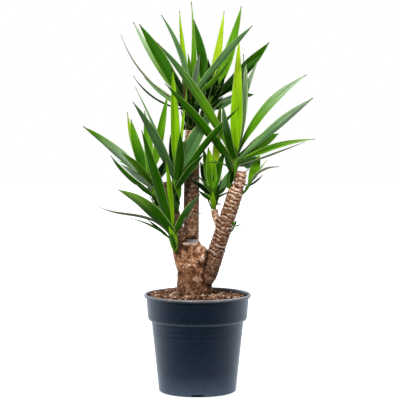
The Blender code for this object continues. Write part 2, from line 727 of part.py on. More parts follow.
def blade_section(half, narrow, at_tip):
    """Across and up offsets round one section. A full blade has a shallow fold, a narrow one is flat."""
    if narrow:
        thick = NARROW_THICKNESS / 2
        return ((-half, thick), (half, thick), (half, -thick), (-half, -thick))
    lift = 0.0 if at_tip else BLADE_FOLD * half
    edge, middle = BLADE_EDGE / 2, BLADE_MIDDLE / 2
    return ((-half, lift + edge), (0, middle), (half, lift + edge),
            (half, lift - edge), (0, -middle), (-half, lift - edge))


def blade_faces(rows, size):
    """Triangles along a blade, split the same way on its upper and its under face."""
    upper = size // 2 - 1
    faces = []
    for row in range(rows - 1):
        for side in range(size):
            low, next_low = row * size + side, row * size + (side + 1) % size
            high, next_high = low + size, next_low + size
            if side < upper:
                faces += [(low, next_low, next_high), (low, next_high, high)]
            else:
                faces += [(low, next_low, high), (next_low, next_high, high)]
    end = (rows - 1) * size
    for first, flip in ((0, True), (end, False)):
        for cell in range(upper):
            near, far = first + cell, first + size - 1 - cell
            pair = [(near, near + 1, far), (near + 1, far - 1, far)]
            faces += [tuple(reversed(face)) for face in pair] if flip else pair
    return faces


def seat_point(head, share):
    """A point on the core between its foot and its crown."""
    foot, crown = (np.array(head.core[index][0], float) for index in (2, 3))
    return foot + (crown - foot) * share


def midrib(root, leaf, share):
    """The blade's middle line and its direction, from root to tip."""
    tip, bow, sway = (np.array(value, float) for value in (leaf.tip, leaf.bow, leaf.sway))
    wave = SWAY_SCALE * share * (1 - share) * (1 - 2 * share)
    wave_slope = SWAY_SCALE * (1 - 6 * share + 6 * share ** 2)
    place = root + (tip - root) * share + bow * 4 * share * (1 - share) + sway * wave
    along = unit(tip - root + bow * 4 * (1 - 2 * share) + sway * wave_slope)
    return place, along


def blade(name, head, leaf):
    """One blade from inside the core to its tip, as a closed body."""
    tip = np.array(leaf.tip, float)
    root = seat_point(head, leaf.seat)
    outward = (tip - root) * (1.0, 1.0, 0.0)
    core_radius = head.core[3][1]
    root = root + outward / max(np.linalg.norm(outward), SEAT_MARGIN) * core_radius * ROOT_OFFSET
    chord = unit(tip - root)
    inward = unit(np.cross(np.cross(chord, SHOOT_AXIS), chord))
    front = np.array((0.0, -1.0 if tip[1] > root[1] else 1.0, 0.0))
    narrow = leaf.width < NARROW_BLADE
    stations = NARROW_STATIONS if narrow else BLADE_STATIONS
    points = []
    for share in stations:
        centre, along = midrib(root, leaf, share)
        turn = leaf.show * min(1.0, share / TURN_DONE)
        face = inward * (1 - turn) + front * turn
        face = unit(face - along * face.dot(along))
        across = np.cross(along, face)
        for side, height in blade_section(half_width(leaf, share), narrow, share == 1):
            points.append(centre + across * side + face * height)
    return mesh_object(name, points, blade_faces(len(stations), 4 if narrow else 6))


def back_leaves(name, head):
    """Blades on the far side of a shoot, spread sideways by a constant turn."""
    draw = random.Random(f"{head.seed} {name}")
    made = []
    for index in range(head.back):
        share = (index + 0.5) / head.back
        side = 2 * ((index * GOLDEN_SHARE) % 1.0) - 1
        azimuth = math.radians(head.back_way + side * head.spread)
        jitter = draw.uniform(-BACK_TURN_JITTER, BACK_TURN_JITTER)
        rise = math.radians(BACK_STEEPEST - BACK_FALL * share + jitter)
        length = head.reach * draw.uniform(0.8, 1.0)
        seat = BACK_SEATS[0] + (BACK_SEATS[1] - BACK_SEATS[0]) * share
        way = np.array((math.cos(azimuth) * math.cos(rise), math.sin(azimuth) * math.cos(rise),
                        math.sin(rise)))
        tip = seat_point(head, seat) + way * length
        sag = length * draw.uniform(*BACK_SAG)
        made.append(Leaf(tuple(tip), (0, 0, sag), seat, length * BACK_SLENDER, 0.0))
    return made


def build_head(name, head):
    """One shoot: its blades grown together with its core."""
    core = core_tube(name, head)
    leaves = list(head.leaves) + back_leaves(name, head)
    blades = [blade(f"{name}_blade_{index}", head, leaf) for index, leaf in enumerate(leaves)]
    apply_boolean(core, blades, "UNION")
    keep_largest(core)
    core.data.materials.clear()
    core.data.materials.append(material(name + "_green", LEAF_GREEN, 0.45))


def main():
    remove(bpy.data.objects)
    build_pot()
    build_soil(build_trunk())
    for name, head in HEADS.items():
        build_head(name, head)


main()
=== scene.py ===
"""Looks of a branched yucca in a plastic nursery pot.

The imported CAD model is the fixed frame. Each of its nodes gets a finer piece in its place: the moulded pot,
the bark mix, the wood and the nine leafy shoots. Lists of points and sizes are in millimetres.
"""

import logging
import math
import random
from dataclasses import dataclass
from enum import Enum
from typing import NamedTuple, Sequence

import bmesh
import bpy
import numpy as np
from bpy.types import Material, Mesh, Node, NodeOutputs, NodeSocket, NodeTree, Object
from mathutils import Euler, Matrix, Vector, noise


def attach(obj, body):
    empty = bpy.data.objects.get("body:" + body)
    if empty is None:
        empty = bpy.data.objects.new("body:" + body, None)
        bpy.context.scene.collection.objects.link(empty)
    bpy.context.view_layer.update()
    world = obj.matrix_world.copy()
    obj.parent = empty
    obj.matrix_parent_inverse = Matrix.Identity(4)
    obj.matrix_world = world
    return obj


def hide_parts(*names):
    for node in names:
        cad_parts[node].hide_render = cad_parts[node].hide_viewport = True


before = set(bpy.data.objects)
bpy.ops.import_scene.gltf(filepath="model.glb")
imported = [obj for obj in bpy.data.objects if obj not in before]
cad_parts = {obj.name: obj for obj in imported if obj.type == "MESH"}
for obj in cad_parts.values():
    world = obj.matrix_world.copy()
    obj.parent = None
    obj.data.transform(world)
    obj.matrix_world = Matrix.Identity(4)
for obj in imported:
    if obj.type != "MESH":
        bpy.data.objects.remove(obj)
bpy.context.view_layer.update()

MM = 0.001
LOG = logging.getLogger("yucca")

# Most of a noise lies between these two values
NOISE_LOW = 0.3
NOISE_HIGH = 0.7

Pair = tuple[float, float]
Triple = tuple[float, float, float]
Knots = tuple[tuple[Triple, float], ...]
Colour = tuple[float, float, float, float]


class Tone(Enum):
    """Colours of the blades as sRGB hex, from young growth to leaves in deep shade. Besides the blades' own
    greens they hold painted light shining through blades, painted sheen and painted shade.
    """

    YOUNG = "#9cba1e"
    # A bright green with painted light shining through the blade
    BRIGHT_BACKLIT = "#7aac0c"
    OLIVE = "#749c3c"
    MID = "#558911"
    DEEP = "#295a04"
    SHADED = "#0b2902"
    # Waxy bloom with a painted sheen
    BLOOM = "#679153"
    PALE = "#bcd79c"
    FROSTED = "#93ac84"
    # A grey-green in painted shade
    SHADED_GREY_GREEN = "#486c3a"
    WITHERED = "#4b4122"
    DRY = "#737a5c"


class StemKind(Enum):
    """Colours of a shoot's stem as sRGB hex: soft green growth, or a stem under old brown leaf scars."""

    FRESH = "#3c6610"
    SCARRED = "#39421c"


class Leaf(NamedTuple):
    """One blade, in millimetres.

    Attributes:
        tip: Where it ends.
        bow: How far its middle stands off the straight line from root to tip.
        seat: Where it leaves the stem, from 0 at the foot to 1 at the crown.
        width: Its greatest width.
        show: How far it turns its face to the front, from 0 to 1.
        tone: Its colour at the base.
        tip_tone: Its colour at the tip, where that is another one.
        sway: How far it swings to one side and back again on its way.
        widest: The share of its length at which it is widest.
        point: How full it stays on the way to its tip, where 1 is a straight taper.
        heel: Its width at the base, as a share of its greatest width.
        turned: How much of its turn it has from the base on.
        proud: How far its root stands off the stem's axis, in radii of the crown.
    """

    tip: Triple
    bow: Triple
    seat: float
    width: float
    show: float
    tone: Tone
    tip_tone: Tone | None = None
    sway: Triple = (0, 0, 0)
    widest: float = 0.46
    point: float = 1.85
    heel: float = 0.7
    turned: float = 0.0
    proud: float = 0.4


def linear(code: str) -> Colour:
    """Turns an sRGB hex colour into linear values with full alpha."""
    channels = [int(code[start:start + 2], 16) / 255 for start in (1, 3, 5)]
    red, green, blue = (c / 12.92 if c <= 0.04045 else ((c + 0.055) / 1.055) ** 2.4 for c in channels)
    return (red, green, blue, 1.0)


def per_metre(spacing: float) -> float:
    """Turns a pattern's spacing in millimetres into a scale for coordinates in metres."""
    return 1 / (spacing * MM)


def unit(vectors: np.ndarray) -> np.ndarray:
    """Scales one vector, or each row of an array, to a length of one."""
    return vectors / np.linalg.norm(vectors, axis=-1, keepdims=True)


def add(tree: NodeTree, kind: str, wires: dict | None = None, out: int | str = 0, stops: Sequence = (),
        **settings: object) -> NodeSocket | None:
    """Adds a node to a tree.

    Args:
        tree: The tree of a material, a world or a geometry modifier.
        kind: Blender's name for the kind of node.
        wires: For each input, by name or number, the socket to link or the value to set.
        out: The name or number of the output to return.
        stops: Places and hex colours of a colour ramp.
        settings: The node's own properties.

    Returns:
        The new node's output, or nothing where it has none.
    """
    node = tree.nodes.new(kind)
    for key, value in settings.items():
        setattr(node, key, value)
    for key, value in (wires or {}).items():
        if isinstance(value, NodeSocket):
            tree.links.new(value, node.inputs[key])
        else:
            node.inputs[key].default_value = value
    if stops:
        band = node.color_ramp.elements
        for element, (place, code) in ((band[0], stops[0]), (band[1], stops[-1])):
            element.position, element.color = place, linear(code)
        for place, code in stops[1:-1]:
            band.new(place).color = linear(code)
    return node.outputs[out] if node.outputs else None


def new_surface(name: str, wires: dict) -> tuple[Material, NodeTree, Node]:
    """Starts a material.

    Args:
        name: The material's name.
        wires: Plain values for the shader's own sockets.

    Returns:
        The material, its tree and its shader node.
    """
    made = bpy.data.materials.new(name)
    made.use_nodes = True
    tree = made.node_tree
    shader = tree.nodes["Principled BSDF"]
    for key, value in wires.items():
        shader.inputs[key].default_value = value
    return made, tree, shader


def new_grower(name: str, sizes: dict) -> tuple[NodeTree, NodeOutputs]:
    """Starts a geometry tree.

    Args:
        name: The tree's name.
        sizes: For each named input its kind of socket and its usual value.

    Returns:
        The tree and the sockets of its inputs.
    """
    tree = bpy.data.node_groups.new(name, "GeometryNodeTree")
    tree.interface.new_socket("Geometry", in_out="INPUT", socket_type="NodeSocketGeometry")
    tree.interface.new_socket("Geometry", in_out="OUTPUT", socket_type="NodeSocketGeometry")
    for label, (kind, usual) in sizes.items():
        socket = tree.interface.new_socket(label, in_out="INPUT", socket_type=kind)
        if usual is not None:
            socket.default_value = usual
    return tree, add(tree, "NodeGroupInput").node.outputs


def grow(source: Object, tree: NodeTree, sizes: dict) -> Object:
    """Runs a geometry tree on an object and keeps the result as its plain mesh.

    Args:
        source: The object that carries the lines or the surface to grow on.
        tree: The geometry tree.
        sizes: Values for the tree's named inputs.

    Returns:
        The same object with its new mesh.
    """
    modifier = source.modifiers.new(tree.name, "NODES")
    modifier.node_group = tree
    for item in tree.interface.items_tree:
        if item.in_out == "INPUT" and item.name in sizes:
            modifier[item.identifier] = sizes[item.name]
    return settle(source)


def settle(source: Object) -> Object:
    """Turns an object with live modifiers into a plain mesh without them.

    Args:
        source: The object.

    Returns:
        The same object.
    """
    evaluated = source.evaluated_get(bpy.context.evaluated_depsgraph_get())
    made = bpy.data.meshes.new_from_object(evaluated)
    source.modifiers.clear()
    source.data = made
    return source


def mesh_object(name: str, points: Sequence, faces: Sequence) -> Object:
    """Makes a mesh object from points in millimetres.

    Args:
        name: The object's name.
        points: Its points.
        faces: Its faces as rows of point numbers.

    Returns:
        The object, linked to the scene, with its faces pointing outwards.
    """
    mesh = bpy.data.meshes.new(name)
    mesh.from_pydata((np.asarray(points, float) * MM).tolist(), [], faces)
    shape = bmesh.new()
    shape.from_mesh(mesh)
    bmesh.ops.recalc_face_normals(shape, faces=shape.faces)
    shape.to_mesh(mesh)
    shape.free()
    made = bpy.data.objects.new(name, mesh)
    bpy.context.scene.collection.objects.link(made)
    return made


def turned_points(profile: Sequence, sides: int) -> list[Triple]:
    """Turns a profile of radii and heights round the upright axis.

    Args:
        profile: Rows of radius and height.
        sides: How many points a ring has.

    Returns:
        The points, one ring after the other.
    """
    angles = np.arange(sides) * math.tau / sides
    return [(radius * math.cos(angle), radius * math.sin(angle), height)
            for radius, height in profile for angle in angles]


def ring_faces(rows: int, sides: int) -> list[tuple[int, ...]]:
    """Lists the faces of a stack of rings: the first cap, the last cap, then the wall between them.

    Args:
        rows: How many rings there are.
        sides: How many points a ring has.

    Returns:
        Each face as point numbers.
    """
    faces = [tuple(range(sides)), tuple(range((rows - 1) * sides, rows * sides))]
    for row in range(rows - 1):
        for side in range(sides):
            low, beside = row * sides + side, row * sides + (side + 1) % sides
            faces.append((low, beside, beside + sides, low + sides))
    return faces


def write_values(mesh: Mesh, values: dict[str, np.ndarray]) -> None:
    """Writes numbers, vectors or colours on a mesh's points.

    Args:
        mesh: The mesh.
        values: For each name one number or one row for each point.
    """
    kinds = {1: ("FLOAT", "value"), 3: ("FLOAT_VECTOR", "vector"), 4: ("FLOAT_COLOR", "color")}
    for name, rows in values.items():
        kind, part = kinds[1 if rows.ndim == 1 else rows.shape[1]]
        mesh.attributes.new(name, kind, "POINT").data.foreach_set(part, rows.astype(np.float32).ravel())


def route(knots: Knots, step: float) -> tuple[np.ndarray, np.ndarray]:
    """Follows a smooth curve through knots.

    Args:
        knots: Places and radii.
        step: About how far apart the points are.

    Returns:
        The points and their radii.
    """
    places = np.array([place for place, _ in knots], float)
    radii = np.array([radius for _, radius in knots], float)
    padded = np.vstack([2 * places[0] - places[1], places, 2 * places[-1] - places[-2]])
    points, widths = [], []
    for index in range(len(places) - 1):
        before, start, end, after = padded[index:index + 4]
        pieces = max(1, round(float(np.linalg.norm(end - start)) / step))
        for share in np.arange(pieces) / pieces:
            points.append((2 * start + (end - before) * share
                           + (2 * before - 5 * start + 4 * end - after) * share ** 2
                           + (3 * start - before - 3 * end + after) * share ** 3) / 2)
            widths.append(radii[index] + (radii[index + 1] - radii[index]) * share ** 2 * (3 - 2 * share))
    return np.array(points + [places[-1]]), np.array(widths + [radii[-1]])


@dataclass
class Strand:
    """A line of points in millimetres with values on each, which a tree sweeps into a solid."""

    points: np.ndarray
    values: dict[str, np.ndarray]


def strand_object(name: str, strands: Sequence[Strand]) -> Object:
    """Makes one object of many separate lines.

    Args:
        name: The object's name.
        strands: The lines, all with the same named values.

    Returns:
        The object, linked to the scene.
    """
    edges, start = [], 0
    for strand in strands:
        stop = start + len(strand.points)
        edges += [(index, index + 1) for index in range(start, stop - 1)]
        start = stop
    mesh = bpy.data.meshes.new(name)
    mesh.from_pydata((np.vstack([strand.points for strand in strands]) * MM).tolist(), edges, [])
    write_values(mesh, {key: np.concatenate([strand.values[key] for strand in strands])
                        for key in strands[0].values})
    made = bpy.data.objects.new(name, mesh)
    bpy.context.scene.collection.objects.link(made)
    return made


class Cover(NamedTuple):
    """A colour laid over another: the readings where it starts and is full, its greatest share, its hex."""

    start: float
    full: float
    most: float
    code: str


def laid_over(tree: NodeTree, colour: NodeSocket, reading: NodeSocket,
              cover: Cover, share: NodeSocket | None = None) -> NodeSocket:
    """Lays one colour over another where a reading says so.

    Args:
        tree: The material's tree.
        colour: The colour below.
        reading: The value that the cover starts and fills by.
        cover: The colour on top.
        share: A value from 0 up that thins the cover out or thickens it.

    Returns:
        The mixed colour.
    """
    amount = add(tree, "ShaderNodeMapRange", {
        0: reading, 1: cover.start, 2: cover.full, 3: 0.0, 4: cover.most})
    if share is not None:
        amount = add(tree, "ShaderNodeMath", {0: amount, 1: share}, operation="MULTIPLY")
    return add(tree, "ShaderNodeMix", {0: amount, 6: colour, 7: linear(cover.code)}, data_type="RGBA", out=2)


@dataclass(frozen=True)
class YuccaLeaf:
    """Living yucca leaf: a leathery strap with a waxy skin, so it is even in colour with a soft, broad sheen.

    Real veins are 0.6 mm apart. They are drawn wider here so that they show. The skin's gloss is low,
    because the photo's leaves hardly shine.
    """

    margin: Cover = Cover(0.84, 0.98, 0.55, "#b9d27c")
    heel: Cover = Cover(0.1, 0.0, 0.4, "#7f9a34")
    withered: Cover = Cover(0.965, 0.985, 0.9, "#5b4a26")
    vein_spacing: float = 2.4
    vein_stretch: float = 0.03
    vein_shade: Pair = (0.7, 1.32)
    vein_depth: float = 0.4
    bump: float = 0.3
    patch_size: float = 1000 / 24
    patch_shade: Pair = (0.9, 1.1)
    roughness: Pair = (0.39, 0.55)
    specular: float = 0.04
    ior: float = 1.3

    def material(self) -> Material:
        """Builds the leaf's material from the values that each blade carries.

        Returns:
            The material.
        """
        made, tree, shader = new_surface("living_yucca_leaf", {
            "Specular IOR Level": self.specular, "IOR": self.ior})
        carried = {name: add(tree, "ShaderNodeAttribute", attribute_name=name, out="Fac")
                   for name in ("across", "along", "half_width", "length", "mark")}
        tint = add(tree, "ShaderNodeAttribute", attribute_name="tint", out="Color")
        aside = add(tree, "ShaderNodeMath", {0: carried["across"], 1: carried["half_width"]},
                    operation="MULTIPLY")
        ahead = add(tree, "ShaderNodeMath", {0: carried["along"], 1: carried["length"]}, operation="MULTIPLY")
        drawn = add(tree, "ShaderNodeMath", {0: ahead, 1: self.vein_stretch}, operation="MULTIPLY")
        strap = add(tree, "ShaderNodeCombineXYZ", {0: aside, 1: drawn, 2: carried["mark"]})
        veins = add(tree, "ShaderNodeTexNoise", {
            "Vector": strap, "Scale": per_metre(self.vein_spacing), "Detail": 2.0}, out="Fac")
        shade = add(tree, "ShaderNodeMapRange", {
            0: veins, 1: NOISE_LOW, 2: NOISE_HIGH, 3: self.vein_shade[0], 4: self.vein_shade[1]})
        place = add(tree, "ShaderNodeTexCoord", out="Object")
        cloud = add(tree, "ShaderNodeTexNoise", {
            "Vector": place, "Scale": per_metre(self.patch_size), "Detail": 2.0}, out="Fac")
        patch = add(tree, "ShaderNodeMapRange", {
            0: cloud, 1: NOISE_LOW, 2: NOISE_HIGH, 3: self.patch_shade[0], 4: self.patch_shade[1]})
        both = add(tree, "ShaderNodeMath", {0: shade, 1: patch}, operation="MULTIPLY")
        colour = add(tree, "ShaderNodeMix", {0: 1.0, 6: tint, 7: both}, data_type="RGBA",
                     blend_type="MULTIPLY", out=2)
        off_middle = add(tree, "ShaderNodeMath", {0: carried["across"]}, operation="ABSOLUTE")
        for reading, cover in ((off_middle, self.margin), (carried["along"], self.heel),
                               (carried["along"], self.withered)):
            colour = laid_over(tree, colour, reading, cover)
        tree.links.new(colour, shader.inputs["Base Color"])
        gloss = add(tree, "ShaderNodeMapRange", {
            0: veins, 1: NOISE_LOW, 2: NOISE_HIGH, 3: self.roughness[0], 4: self.roughness[1]})
        tree.links.new(gloss, shader.inputs["Roughness"])
        ribs = add(tree, "ShaderNodeBump", {
            "Strength": self.bump, "Distance": self.vein_depth * MM, "Height": veins})
        tree.links.new(ribs, shader.inputs["Normal"])
        return made


@dataclass(frozen=True)
class ShootStem:
    """Stem of a shoot: soft green growth, ringed by old leaf bases that leave brown threads.

    Real threads are a tenth of a millimetre wide. They are drawn in bundles here so that they show.
    """

    threads: Cover = Cover(0.45, 0.6, 1.0, "#2a1d10")
    thread_size: float = 1000 / 110
    thread_squeeze: float = 3.0
    thread_depth: float = 0.8
    bump: float = 0.5
    roughness: float = 0.6
    specular: float = 0.2

    def material(self) -> Material:
        """Builds the stem's material: its own tint, with brown fibres in the rings.

        Returns:
            The material.
        """
        made, tree, shader = new_surface("yucca_shoot_stem", {
            "Roughness": self.roughness, "Specular IOR Level": self.specular})
        tint = add(tree, "ShaderNodeAttribute", attribute_name="tint", out="Color")
        old = add(tree, "ShaderNodeAttribute", attribute_name="mark", out="Fac")
        place = add(tree, "ShaderNodeTexCoord", out="Object")
        flat = add(tree, "ShaderNodeMapping", {"Vector": place, "Scale": (1.0, 1.0, self.thread_squeeze)})
        threads = add(tree, "ShaderNodeTexNoise", {
            "Vector": flat, "Scale": per_metre(self.thread_size), "Detail": 3.0}, out="Fac")
        colour = laid_over(tree, tint, threads, self.threads, old)
        tree.links.new(colour, shader.inputs["Base Color"])
        relief = add(tree, "ShaderNodeBump", {
            "Strength": self.bump, "Distance": self.thread_depth * MM, "Height": threads})
        tree.links.new(relief, shader.inputs["Normal"])
        return made


@dataclass(frozen=True)
class CaneBark:
    """Corky yucca bark: dead, dry and dull, with pale raised leaf scars, dark creases and a sawn top.

    Its browns run from deep creases to worn lips, by the height of the relief, which also holds painted shade
    in the creases between lumps and painted light on the lumps. Its pits are 2.5 mm wide, about twice the
    real ones, so that they show. Mud is splashed on its foot.
    """

    browns: tuple[tuple[float, str], ...] = (
        (0.02, "#1f0f08"), (0.27, "#4a2814"), (0.5, "#825232"), (0.74, "#b68663"), (1.0, "#f3dac4"),
    )
    sawn: str = "#6e6567"
    ring: str = "#a39a98"
    splash: Cover = Cover(0.29, 0.225, 1.0, "#2c160c")
    grain_size: float = 5.0
    pit_size: float = 2.5
    year_size: float = 1000 / 260
    grain_relief: Pair = (1.2, -0.6)
    pit_relief: Pair = (-0.4, 0.19)
    depth: float = 1.2
    bump: float = 0.7
    roughness: float = 0.85
    specular: float = 0.25

    def material(self) -> Material:
        """Builds the bark's material from the relief, the paleness and the sawn faces carried by the mesh.

        Returns:
            The material.
        """
        made, tree, shader = new_surface("corky_yucca_bark", {
            "Roughness": self.roughness, "Specular IOR Level": self.specular})
        carried = {name: add(tree, "ShaderNodeAttribute", attribute_name=name, out="Fac")
                   for name in ("relief", "pale", "sawn")}
        place = add(tree, "ShaderNodeTexCoord", out="Object")
        grain = add(tree, "ShaderNodeTexNoise", {
            "Vector": place, "Scale": per_metre(self.grain_size), "Detail": 5.0,
            "Roughness": 0.65}, out="Fac")
        pits = add(tree, "ShaderNodeTexVoronoi", {
            "Vector": place, "Scale": per_metre(self.pit_size)}, out="Distance")
        rough = add(tree, "ShaderNodeMath", {
            0: grain, 1: self.grain_relief[0], 2: self.grain_relief[1]}, operation="MULTIPLY_ADD")
        pitted = add(tree, "ShaderNodeMath", {
            0: pits, 1: self.pit_relief[0], 2: self.pit_relief[1]}, operation="MULTIPLY_ADD")
        height = add(tree, "ShaderNodeMath", {0: carried["relief"], 1: rough}, operation="ADD")
        height = add(tree, "ShaderNodeMath", {0: height, 1: pitted}, operation="ADD")
        colour = add(tree, "ShaderNodeValToRGB", {0: height}, stops=self.browns)
        years = add(tree, "ShaderNodeTexNoise", {
            "Vector": place, "Scale": per_metre(self.year_size), "Detail": 2.0}, out="Fac")
        face = add(tree, "ShaderNodeMix", {0: years, 6: linear(self.sawn), 7: linear(self.ring)},
                   data_type="RGBA", out=2)
        colour = add(tree, "ShaderNodeMix", {0: carried["sawn"], 6: colour, 7: face}, data_type="RGBA", out=2)
        # Paleness darkens the bark: its own tone, and painted shade under the leaves
        colour = add(tree, "ShaderNodeMix", {0: 1.0, 6: colour, 7: carried["pale"]}, data_type="RGBA",
                     blend_type="MULTIPLY", out=2)
        upright = add(tree, "ShaderNodeSeparateXYZ", {0: place}, out=2)
        specks = add(tree, "ShaderNodeMapRange", {0: grain, 1: 0.42, 2: 0.58, 3: 0.1, 4: 1.1})
        colour = laid_over(tree, colour, upright, self.splash, specks)
        tree.links.new(colour, shader.inputs["Base Color"])
        bump = add(tree, "ShaderNodeBump", {
            "Strength": self.bump, "Distance": self.depth * MM, "Height": height})
        tree.links.new(bump, shader.inputs["Normal"])
        return made


@dataclass(frozen=True)
class BarkMix:
    """Potting mix of pine bark chips and coir: torn, dry and dull, in many browns.

    Its grain is 2.4 mm wide, coarser than real torn bark, so that it shows.
    """

    browns: tuple[tuple[float, str], ...] = (
        (0.0, "#140804"), (0.26, "#371d0e"), (0.5, "#5f3b24"), (0.74, "#835e46"), (0.9, "#a88669"),
        (1.0, "#d2bba8"),
    )
    grain_size: float = 1000 / 420
    grain_shade: Pair = (0.6, -0.3)
    depth: float = 1.0
    bump: float = 0.6
    roughness: float = 0.92
    specular: float = 0.2

    def material(self) -> Material:
        """Builds the mix's material: one brown for each chip, with torn grain in it.

        Returns:
            The material.
        """
        made, tree, shader = new_surface("bark_and_coir_mix", {
            "Roughness": self.roughness, "Specular IOR Level": self.specular})
        chip = add(tree, "ShaderNodeAttribute", attribute_name="chip", out="Fac")
        place = add(tree, "ShaderNodeTexCoord", out="Object")
        grain = add(tree, "ShaderNodeTexNoise", {
            "Vector": place, "Scale": per_metre(self.grain_size), "Detail": 4.0}, out="Fac")
        torn = add(tree, "ShaderNodeMath", {
            0: grain, 1: self.grain_shade[0], 2: self.grain_shade[1]}, operation="MULTIPLY_ADD")
        mixed = add(tree, "ShaderNodeMath", {0: chip, 1: torn}, operation="ADD")
        colour = add(tree, "ShaderNodeValToRGB", {0: mixed}, stops=self.browns)
        tree.links.new(colour, shader.inputs["Base Color"])
        bump = add(tree, "ShaderNodeBump", {
            "Strength": self.bump, "Distance": self.depth * MM, "Height": grain})
        tree.links.new(bump, shader.inputs["Normal"])
        return made


@dataclass(frozen=True)
class MouldedPolypropylene:
    """Thin moulded polypropylene in anthracite: satin, with faint fine streaks down its wall.

    Its lip is dusty with a painted highlight along its top, its foot is rubbed pale with a painted reflection
    of the floor, a painted highlight runs along the step, and painted shade darkens the inside of the rim and
    the corner under the lip.
    Its skin is drawn a little coarser than the real one. Heights and radii are in metres.
    """

    body: str = "#06121f"
    cloud: str = "#0a1a2a"
    # Dust on the lip, and a painted highlight along the lip's top
    dust_and_highlight: Cover = Cover(0.2165, 0.2215, 1.2, "#a29a96")
    # Rubbed wear at the foot, and a painted reflection of the floor that grows lighter towards the bottom
    rubbed_foot_and_reflection: Cover = Cover(0.05, 0.002, 0.36, "#566574")
    # Painted highlight along the foot of the collar, above the step
    step_highlight: Cover = Cover(0.1665, 0.1632, 0.62, "#566574")
    step_foot: float = 0.1615
    # Painted shade inside the rim and in the corner under the lip
    painted_shade: str = "#01050a"
    inner_radius: float = 0.1152
    shade_inside_above: float = 0.205
    under_lip: Triple = (0.2105, 0.2135, 0.2156)
    streak_size: float = 1000 / 300
    streak_stretch: float = 0.2
    streak_span: Pair = (0.32, 0.68)
    dust_and_highlight_size: float = 1000 / 130
    skin_size: float = 1000 / 900
    skin_depth: float = 0.3
    bump: float = 0.08
    roughness: Pair = (0.28, 0.41)
    ior: float = 1.49
    film: float = 0.1
    sheen_tint: Colour = (0.75, 0.88, 1.0, 1.0)

    def painted_shade_mask(self, tree: NodeTree, place: NodeSocket, upright: NodeSocket) -> NodeSocket:
        """Marks the painted shade inside the rim and in the corner under the lip.

        Args:
            tree: The material's tree.
            place: Object coordinates.
            upright: Their height.

        Returns:
            The mark, from 0 to 1.
        """
        flat = add(tree, "ShaderNodeVectorMath", {0: place, 1: (1.0, 1.0, 0.0)}, operation="MULTIPLY")
        off_axis = add(tree, "ShaderNodeVectorMath", {0: flat}, operation="LENGTH", out="Value")
        inner = add(tree, "ShaderNodeMath", {0: off_axis, 1: self.inner_radius}, operation="LESS_THAN")
        high = add(tree, "ShaderNodeMath", {0: upright, 1: self.shade_inside_above}, operation="GREATER_THAN")
        inside = add(tree, "ShaderNodeMath", {0: inner, 1: high}, operation="MULTIPLY")
        start, full, lip = self.under_lip
        corner = add(tree, "ShaderNodeMapRange", {0: upright, 1: start, 2: full})
        below = add(tree, "ShaderNodeMath", {0: upright, 1: lip}, operation="LESS_THAN")
        corner = add(tree, "ShaderNodeMath", {0: corner, 1: below}, operation="MULTIPLY")
        return add(tree, "ShaderNodeMath", {0: corner, 1: inside}, operation="MAXIMUM")

    def material(self) -> Material:
        """Builds the pot's material: streaks, and over them a dusty lip with a painted highlight, a rubbed
        foot with a painted floor reflection, a painted highlight at the step and painted shade.

        Returns:
            The material.
        """
        made, tree, shader = new_surface("moulded_polypropylene", {
            "IOR": self.ior, "Specular Tint": self.sheen_tint, "Sheen Weight": self.film,
            "Sheen Roughness": 0.3, "Sheen Tint": self.sheen_tint})
        place = add(tree, "ShaderNodeTexCoord", out="Object")
        drawn = add(tree, "ShaderNodeMapping", {"Vector": place, "Scale": (1.0, 1.0, self.streak_stretch)})
        streak = add(tree, "ShaderNodeTexNoise", {
            "Vector": drawn, "Scale": per_metre(self.streak_size), "Detail": 4.0}, out="Fac")
        clouded = add(tree, "ShaderNodeMapRange", {0: streak, 1: self.streak_span[0], 2: self.streak_span[1]})
        colour = add(tree, "ShaderNodeMix", {0: clouded, 6: linear(self.body), 7: linear(self.cloud)},
                     data_type="RGBA", out=2)
        upright = add(tree, "ShaderNodeSeparateXYZ", {0: place}, out=2)
        patchy = add(tree, "ShaderNodeTexNoise", {
            "Vector": place, "Scale": per_metre(self.dust_and_highlight_size), "Detail": 4.0}, out="Fac")
        uneven = add(tree, "ShaderNodeMapRange", {0: streak, 1: NOISE_LOW, 2: NOISE_HIGH, 3: 0.75, 4: 1.2})
        above_step = add(tree, "ShaderNodeMath", {0: upright, 1: self.step_foot}, operation="GREATER_THAN")
        # A dusty lip with a painted highlight, a rubbed foot with a painted floor reflection, and a painted
        # highlight at the step
        for cover, share in ((self.dust_and_highlight, patchy), (self.rubbed_foot_and_reflection, uneven), (self.step_highlight, above_step)):
            colour = laid_over(tree, colour, upright, cover, share)
        # Painted shade inside the rim and under the lip
        colour = add(tree, "ShaderNodeMix", {
            0: self.painted_shade_mask(tree, place, upright), 6: colour, 7: linear(self.painted_shade)}, data_type="RGBA", out=2)
        tree.links.new(colour, shader.inputs["Base Color"])
        gloss = add(tree, "ShaderNodeMapRange", {
            0: streak, 1: NOISE_LOW, 2: NOISE_HIGH, 3: self.roughness[0], 4: self.roughness[1]})
        tree.links.new(gloss, shader.inputs["Roughness"])
        skin = add(tree, "ShaderNodeTexNoise", {
            "Vector": place, "Scale": per_metre(self.skin_size), "Detail": 2.0}, out="Fac")
        bump = add(tree, "ShaderNodeBump", {
            "Strength": self.bump, "Distance": self.skin_depth * MM, "Height": skin})
        tree.links.new(bump, shader.inputs["Normal"])
        return made


